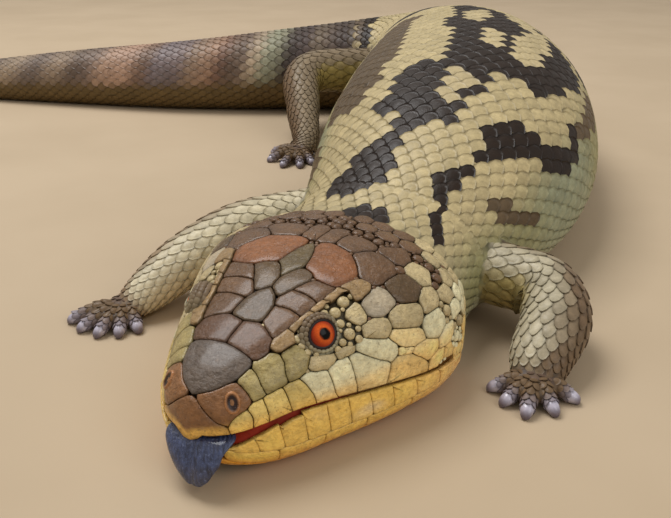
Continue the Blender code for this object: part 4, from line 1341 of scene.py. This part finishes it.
class Finish:
    """A material of linked nodes, built by short calls."""

    def __init__(self, name, roughness, coat=0.0, coat_roughness=0.2, specular=0.5):
        self.made = bpy.data.materials.new(name)
        self.made.use_nodes = True
        self.tree = self.made.node_tree
        self.shader = self.tree.nodes["Principled BSDF"]
        self.shader.inputs["Roughness"].default_value = roughness
        self.shader.inputs["Coat Weight"].default_value = coat
        self.shader.inputs["Coat Roughness"].default_value = coat_roughness
        self.shader.inputs["Specular IOR Level"].default_value = specular
        self.where = self.node("TexCoord").outputs["Object"]

    def node(self, kind, **settings):
        """A node of this kind, with its properties set."""
        prefix = "" if kind.startswith("ShaderNode") else "ShaderNode"
        made = self.tree.nodes.new(prefix + kind)
        for key, value in settings.items():
            setattr(made, key, value)
        return made

    def link(self, source, target):
        """Feeds a socket from another socket, or gives it a number."""
        if isinstance(source, bpy.types.NodeSocket):
            self.tree.links.new(source, target)
        else:
            target.default_value = source

    def noise(self, size, detail=4.0, stretch=None, roughness=0.55):
        """Noise with lumps of this size in millimetres, stretched along the axes if asked."""
        made = self.node("TexNoise")
        vector = self.where
        if stretch is not None:
            mapping = self.node("Mapping")
            self.link(vector, mapping.inputs["Vector"])
            mapping.inputs["Scale"].default_value = stretch
            vector = mapping.outputs["Vector"]
        self.link(vector, made.inputs["Vector"])
        made.inputs["Scale"].default_value = 1 / (size * MM)
        made.inputs["Detail"].default_value = detail
        made.inputs["Roughness"].default_value = roughness
        return made.outputs["Fac"]

    def range(self, value, low, high, to_low=0.0, to_high=1.0):
        """Maps a value from one range to another, held at the ends."""
        made = self.node("MapRange")
        self.link(value, made.inputs["Value"])
        for key, number in zip(("From Min", "From Max", "To Min", "To Max"), (low, high, to_low, to_high)):
            made.inputs[key].default_value = number
        return made.outputs["Result"]

    def mix(self, factor, a, b, kind="MIX"):
        """Mixes two colours."""
        made = self.node("Mix", data_type="RGBA", blend_type=kind)
        self.link(factor, made.inputs["Factor"])
        for source, target in ((a, made.inputs[6]), (b, made.inputs[7])):
            self.link(source if isinstance(source, bpy.types.NodeSocket) else (*source, 1.0), target)
        return made.outputs[2]

    def shaded(self, brightness):
        """The colour painted on the mesh, times a grey of this brightness."""
        grey = self.node("CombineColor")
        for key in ("Red", "Green", "Blue"):
            self.link(brightness, grey.inputs[key])
        painted = self.node("Attribute", attribute_name="marking").outputs["Color"]
        return self.mix(1.0, painted, grey.outputs[0], "MULTIPLY")

    def bump(self, height, depth, before=None):
        """A bump of this depth in millimetres, over an earlier one if given."""
        made = self.node("Bump")
        made.inputs["Strength"].default_value = 1.0
        made.inputs["Distance"].default_value = depth * MM
        self.link(height, made.inputs["Height"])
        if before is not None:
            self.link(before, made.inputs["Normal"])
        return made.outputs["Normal"]

    def done(self, base, normal=None, roughness=None):
        """Links the colour, bump and roughness to the shader."""
        self.link(base, self.shader.inputs["Base Color"])
        if normal is not None:
            self.link(normal, self.shader.inputs["Normal"])
        if roughness is not None:
            self.link(roughness, self.shader.inputs["Roughness"])
        return self.made


def scale_finish(name, roughness=0.44, coat=0.06):
    """Smooth horny scales: the marking, a coarse and a fine mottle, small bumps and a soft gloss."""
    finish = Finish(name, roughness, coat, 0.25, 0.24)
    mottle = finish.range(finish.noise(1.6), 0.3, 0.7, 0.82, 1.14)
    fine = finish.range(finish.noise(0.35, 2), 0.3, 0.7, 0.93, 1.07)
    shade = finish.node("Math", operation="MULTIPLY")
    finish.link(mottle, shade.inputs[0])
    finish.link(fine, shade.inputs[1])
    base = finish.shaded(shade.outputs[0])
    normal = finish.bump(finish.noise(0.5, 3), 0.06)
    rough = finish.range(finish.noise(2.5), 0.35, 0.65, roughness - 0.07, roughness + 0.1)
    return finish.done(base, normal, rough)


def plate_finish(name, roughness=0.32, coat=0.3, pale=0.3, pitted=0.6):
    """Horny plates: the marking with fine wrinkles, dark pits, and pale dry edges that lift in streaks."""
    finish = Finish(name, roughness, coat, 0.15, 0.3)
    mottle = finish.range(finish.noise(0.9), 0.3, 0.7, 0.8, 1.18)
    base = finish.shaded(mottle)
    pits = finish.range(finish.noise(0.7, 5, roughness=0.7), 0.3, 0.42, pitted, 0.0)
    base = finish.mix(pits, base, PIT_BROWN)
    dry = finish.range(finish.noise(1.5, 7, (1, 1, 1.6), 0.7), 0.6, 0.72, 0.0, pale)
    base = finish.mix(dry, base, DRY_HORN)
    wrinkles = finish.bump(finish.noise(0.6, 5, (1, 1, 1.5), 0.6), 0.26)
    normal = finish.bump(finish.noise(2.2, 3), 0.7, wrinkles)
    rough = finish.range(finish.noise(1.1), 0.35, 0.65, roughness - 0.08, roughness + 0.14)
    return finish.done(base, normal, rough)


def eye_finish():
    """Wet eye: the painted iris under a clear gloss."""
    finish = Finish("eye", 0.25, 0.16, 0.02, 0.1)
    grain = finish.range(finish.noise(0.12, 3), 0.3, 0.7, 0.8, 1.2)
    return finish.done(finish.shaded(grain))


def tongue_finish():
    """Blue tongue: dark slate with lengthwise streaks, wet on its bumps."""
    finish = Finish("tongue", 0.32, 0.5, 0.1)
    streak = finish.noise(1.0, 5, (2.2, 0.7, 0.9), 0.6)
    base = finish.mix(finish.range(streak, 0.35, 0.7), TONGUE_DARK, TONGUE_BLUE)
    base = finish.mix(finish.range(finish.noise(0.5, 4), 0.58, 0.7, 0, 0.5), base, TONGUE_PALE)
    normal = finish.bump(streak, 0.35, finish.bump(finish.noise(0.45, 3), 0.15))
    return finish.done(base, normal)


def claw_finish():
    """Claws: the marking, a fine grain, small bumps and a soft gloss."""
    finish = Finish("claw", 0.28, 0.3, 0.15)
    grain = finish.range(finish.noise(0.5, 3), 0.3, 0.7, 0.85, 1.12)
    return finish.done(finish.shaded(grain), finish.bump(finish.noise(0.6, 2), 0.06))


# Build

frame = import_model()


def ride(obj, slot, finish, replaced=()):
    """Sets a piece's material, fastens it to the root body, and hides the solids it stands for. The slot is
    not used.
    """
    obj.data.materials.append(finish)
    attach(obj, "root")
    if replaced:
        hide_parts(*replaced)
    return obj


def skin_shapes():
    """Closed lofts of the head, jaw, body, limbs, palms and toes, each drawn in by the depth of the coat."""
    shapes = []
    turns = circle(72)
    at = np.concatenate([np.linspace(46, 505, 200), 505 + 16.5 * np.sin(np.linspace(0.1, np.pi / 2, 12))])

    def drawn_in(surface, p, q, depth):
        """The surface moved in by a depth along its normals, and kept off the floor."""
        point, normal = with_normals(surface, p, q)
        point = point - normal * depth
        point[..., 2] = np.maximum(point[..., 2], SKIN_CLEAR)
        return point

    shapes.append(loft(drawn_in(hide, at[:, None], turns[None], COAT)))
    head = 1.0 + 50 * (1 - np.cos(np.linspace(0.05, 1, 40) * np.pi / 2))
    for upper in (True, False):
        level = upper_lip(head) + COAT * 0.5 if upper else upper_lip(head) - lip_gap(head) - COAT * 0.5
        start = lip_turn(head, level)
        span = np.linspace(0, 1, 48)[None]
        low, high = (start, np.pi - start) if upper else (np.pi - start, TAU + start)
        over = low[:, None] + (high - low)[:, None] * span
        outer = drawn_in(hide if upper else jaw_hide, head[:, None], over, COAT)
        back = np.linspace(0, 1, 14)[None, 1:-1, None]
        inner = outer[:, -1:] * (1 - back) + outer[:, :1] * back
        shapes.append(loft(np.concatenate([outer, inner], 1)))
    turns = circle(28)
    for name, rows in LIMBS.items():
        surface = limb_surface(rows)
        shapes.append(loft(drawn_in(surface, np.linspace(0, 4.7, 50)[:, None], turns[None], LIMB_COAT)))
        x, y, z, half_width, half_height = rows[-1]
        rise = np.linspace(-1.5, 1.5, 14)[:, None]
        level = (half_width - 0.5) * np.cos(rise)
        ball = np.stack(np.broadcast_arrays(
            x + level * np.cos(turns), y + level * np.sin(turns),
            np.maximum(z + (half_height - 0.5) * np.sin(rise), SKIN_CLEAR),
        ), -1)
        shapes.append(loft(ball))
        for tip in TOE_TIPS[name]:
            path, _ = toe_rows(rows, tip)
            shapes.append(loft(drawn_in(
                limb_surface(path), np.linspace(0, 2, 14)[:, None], turns[None, ::2], TOE_COAT,
            )))
    return shapes


def head_local(points):
    """Distance, sideways and height of world points near the head, whose line is nearly straight."""
    away = np.linalg.norm(points[:, None, :2] - np.stack([LINE_X, LINE_Y], -1)[None, :80], axis=-1)
    near = away.argmin(1)
    dx, dy = points[:, 0] - LINE_X[near], points[:, 1] - LINE_Y[near]
    c, s = np.cos(ANGLES[near]), np.sin(ANGLES[near])
    return np.stack([STEPS[near] + dx * c + dy * s, dx * s - dy * c, points[:, 2]], -1)


def mouth_colour(points, colours):
    """Paints what lies inside the lips red, and the gap between them a darker red as painted shade, browner
    to the corner.
    """
    colours = colours.copy()
    head = np.flatnonzero(np.linalg.norm(points[:, :2] - (LINE_X[20], LINE_Y[20]), axis=1) < 45)
    local = head_local(points[head])
    level = outline_level(local)
    distance, height = local[:, 0], local[:, 2]
    line = upper_lip(distance)
    low = line - lip_gap(distance)
    near = (height > low - 1.4) & (height < line + 1.2) & (distance < 42)
    deep = (level < -0.22) & (height > low - 3) & (height < low + 5) & (distance > 0) & (distance < 36)
    back = fade(distance, 14, 24)[:, None]
    # painted shade: the mouth's red, darkened in the narrow gap where the lips meet
    slit_shade = MOUTH_RED * 0.55
    painted = slit_shade + (MOUTH_CORNER - slit_shade) * back
    colours[head[near]] = painted[near]
    colours[head[deep]] = MOUTH_RED
    return colours


def fused(name, shapes):
    """One seamless mesh from overlapping closed shapes: remeshed as a volume, then smoothed."""
    obj = make(name, *join(shapes))
    remesh = obj.modifiers.new("fuse", "REMESH")
    remesh.mode = "VOXEL"
    remesh.voxel_size = VOXEL * MM
    relax = obj.modifiers.new("relax", "SMOOTH")
    relax.iterations = SMOOTHING
    relax.factor = 0.5
    bpy.context.view_layer.update()
    mesh = bpy.data.meshes.new_from_object(obj.evaluated_get(bpy.context.evaluated_depsgraph_get()))
    bpy.data.objects.remove(obj)
    points = np.zeros(len(mesh.vertices) * 3, np.float32)
    mesh.vertices.foreach_get("co", points)
    sizes = np.zeros(len(mesh.polygons), np.int32)
    mesh.polygons.foreach_get("loop_total", sizes)
    corners = np.zeros(len(mesh.loops), np.int32)
    mesh.loops.foreach_get("vertex_index", corners)
    faces = [part.tolist() for part in np.split(corners, np.cumsum(sizes)[:-1])]
    return points.reshape(-1, 3) / MM, faces


scale_look = scale_finish("scale")
plate_look = plate_finish("plate")
jaw_look = plate_finish("jaw_plate", 0.3, 0.4, 0.1, 0.06)
coat = [
    ("plates_head", "skin_head", plate_look, head_plates()),
    ("plates_jaw", "skin_jaw", jaw_look, jaw_plates()),
    ("lids", "skin_head", scale_look, [lids(1), lids(-1)] + lid_beads(1) + lid_beads(-1)),
    ("nostrils", "skin_head", plate_look, [nostril(1), nostril(-1)]),
]
for name, start, end, around in ZONES:
    slot = "skin_tail" if name.startswith("tail") else "skin_body"
    coat.append(("scales_" + name, slot, scale_look, [body_scales(start, end, around)]))
for number, (name, rows) in enumerate(LIMBS.items()):
    coat.append(("scales_" + name, "skin_limb", scale_look, limb_scales(number, rows)))
root_points, root_colours = [], []
for name, slot, finish, shapes in coat:
    points, faces, colours, patches = gather(shapes)
    ride(make(name, points, faces, colours, patches), slot, finish)
    root_points.append(points[::9])
    root_colours.append(colours[::9])

points, faces = fused("skin", skin_shapes())
# the skin takes the colour of the nearest scale with painted shade, since it lies under and between them, and
# deeper painted shade on the head
colours = np.vstack(root_colours)[nearest(points, np.vstack(root_points))[0]] * SKIN_SHADE
from_head = np.linalg.norm(points[:, :2] - (LINE_X[16], LINE_Y[16]), axis=1)
colours *= (HEAD_SHADE + (1 - HEAD_SHADE) * fade(from_head, 24, 32))[:, None]
colours = mouth_colour(points, colours)
flesh = [n for n in frame["nodes"] if "claw" not in n and "eye" not in n and n != "tongue"]
ride(make("skin", points, faces, colours), "skin_body", scale_finish("hide", 0.5), flesh)

eye_look = eye_finish()
for side, sign in SIDES:
    ride(make("eyeball_" + side, *eyeball(sign)), "eye", eye_look, ["eye_" + side])
ride(make("tongue_out", *tongue_shape()), "tongue", tongue_finish(), ["tongue"])
claw_look = claw_finish()
for name, rows in LIMBS.items():
    for number, tip in enumerate(TOE_TIPS[name], 1):
        ride(make(f"{name}_nail_{number}", *claw(rows, tip)), "claw", claw_look, [f"{name}_claw_{number}"])

# Floor, lights and camera. Places are in metres, except the floor's corners.
FLOOR_CORNERS = [(-3000, -1500, 0), (3000, -1500, 0), (3000, 4000, 0), (-3000, 4000, 0)]
SKY_COLOUR = (1.0, 0.97, 0.93, 1.0)
SKY_STRENGTH = 0.4
# name, place, what it faces, width in metres, power in watts
LIGHTS = [
    ("key", (-0.35, 0.25, 0.95), (-0.03, -0.02, 0.02), 0.55, 7.8),
    ("fill", (0.7, -0.7, 0.8), (-0.02, -0.05, 0.02), 0.8, 3.8),
]
# focal length and width of the photo in pixels, width of the sensor in millimetres, degrees below the level
FOCAL_PIXELS = 760
PHOTO_PIXELS = 671
SENSOR_WIDTH = 36
CAMERA_AT = (-0.038, -0.2305, 0.0807)
CAMERA_DIP = 24.35
CAMERA_NEAR = 0.01

floor = make("floor", FLOOR_CORNERS, [[0, 1, 2, 3]], smooth=False)
floor_look = Finish("floor", 0.75)
sand = floor_look.range(floor_look.noise(60, 3), 0.35, 0.65)
floor.data.materials.append(floor_look.done(floor_look.mix(sand, FLOOR_DARK, FLOOR_PALE)))

world = bpy.data.worlds.new("studio")
bpy.context.scene.world = world
world.use_nodes = True
background = world.node_tree.nodes["Background"].inputs
background["Color"].default_value = SKY_COLOUR
background["Strength"].default_value = SKY_STRENGTH


def area_light(name, at, towards, size, power):
    """A soft square light."""
    data = bpy.data.lights.new(name, "AREA")
    data.size = size
    data.energy = power
    obj = bpy.data.objects.new(name, data)
    obj.location = at
    obj.rotation_euler = (Vector(towards) - Vector(at)).to_track_quat("-Z", "Y").to_euler()
    bpy.context.scene.collection.objects.link(obj)


for light in LIGHTS:
    area_light(*light)

camera_data = bpy.data.cameras.new("camera")
camera_data.sensor_width = SENSOR_WIDTH
camera_data.lens = FOCAL_PIXELS / PHOTO_PIXELS * SENSOR_WIDTH
camera_data.clip_start = CAMERA_NEAR
camera = bpy.data.objects.new("camera", camera_data)
camera.location = CAMERA_AT
camera.rotation_euler = (np.radians(90 - CAMERA_DIP), 0, 0)
bpy.context.scene.collection.objects.link(camera)
bpy.context.scene.camera = camera
bpy.context.scene.view_settings.view_transform = "Standard"
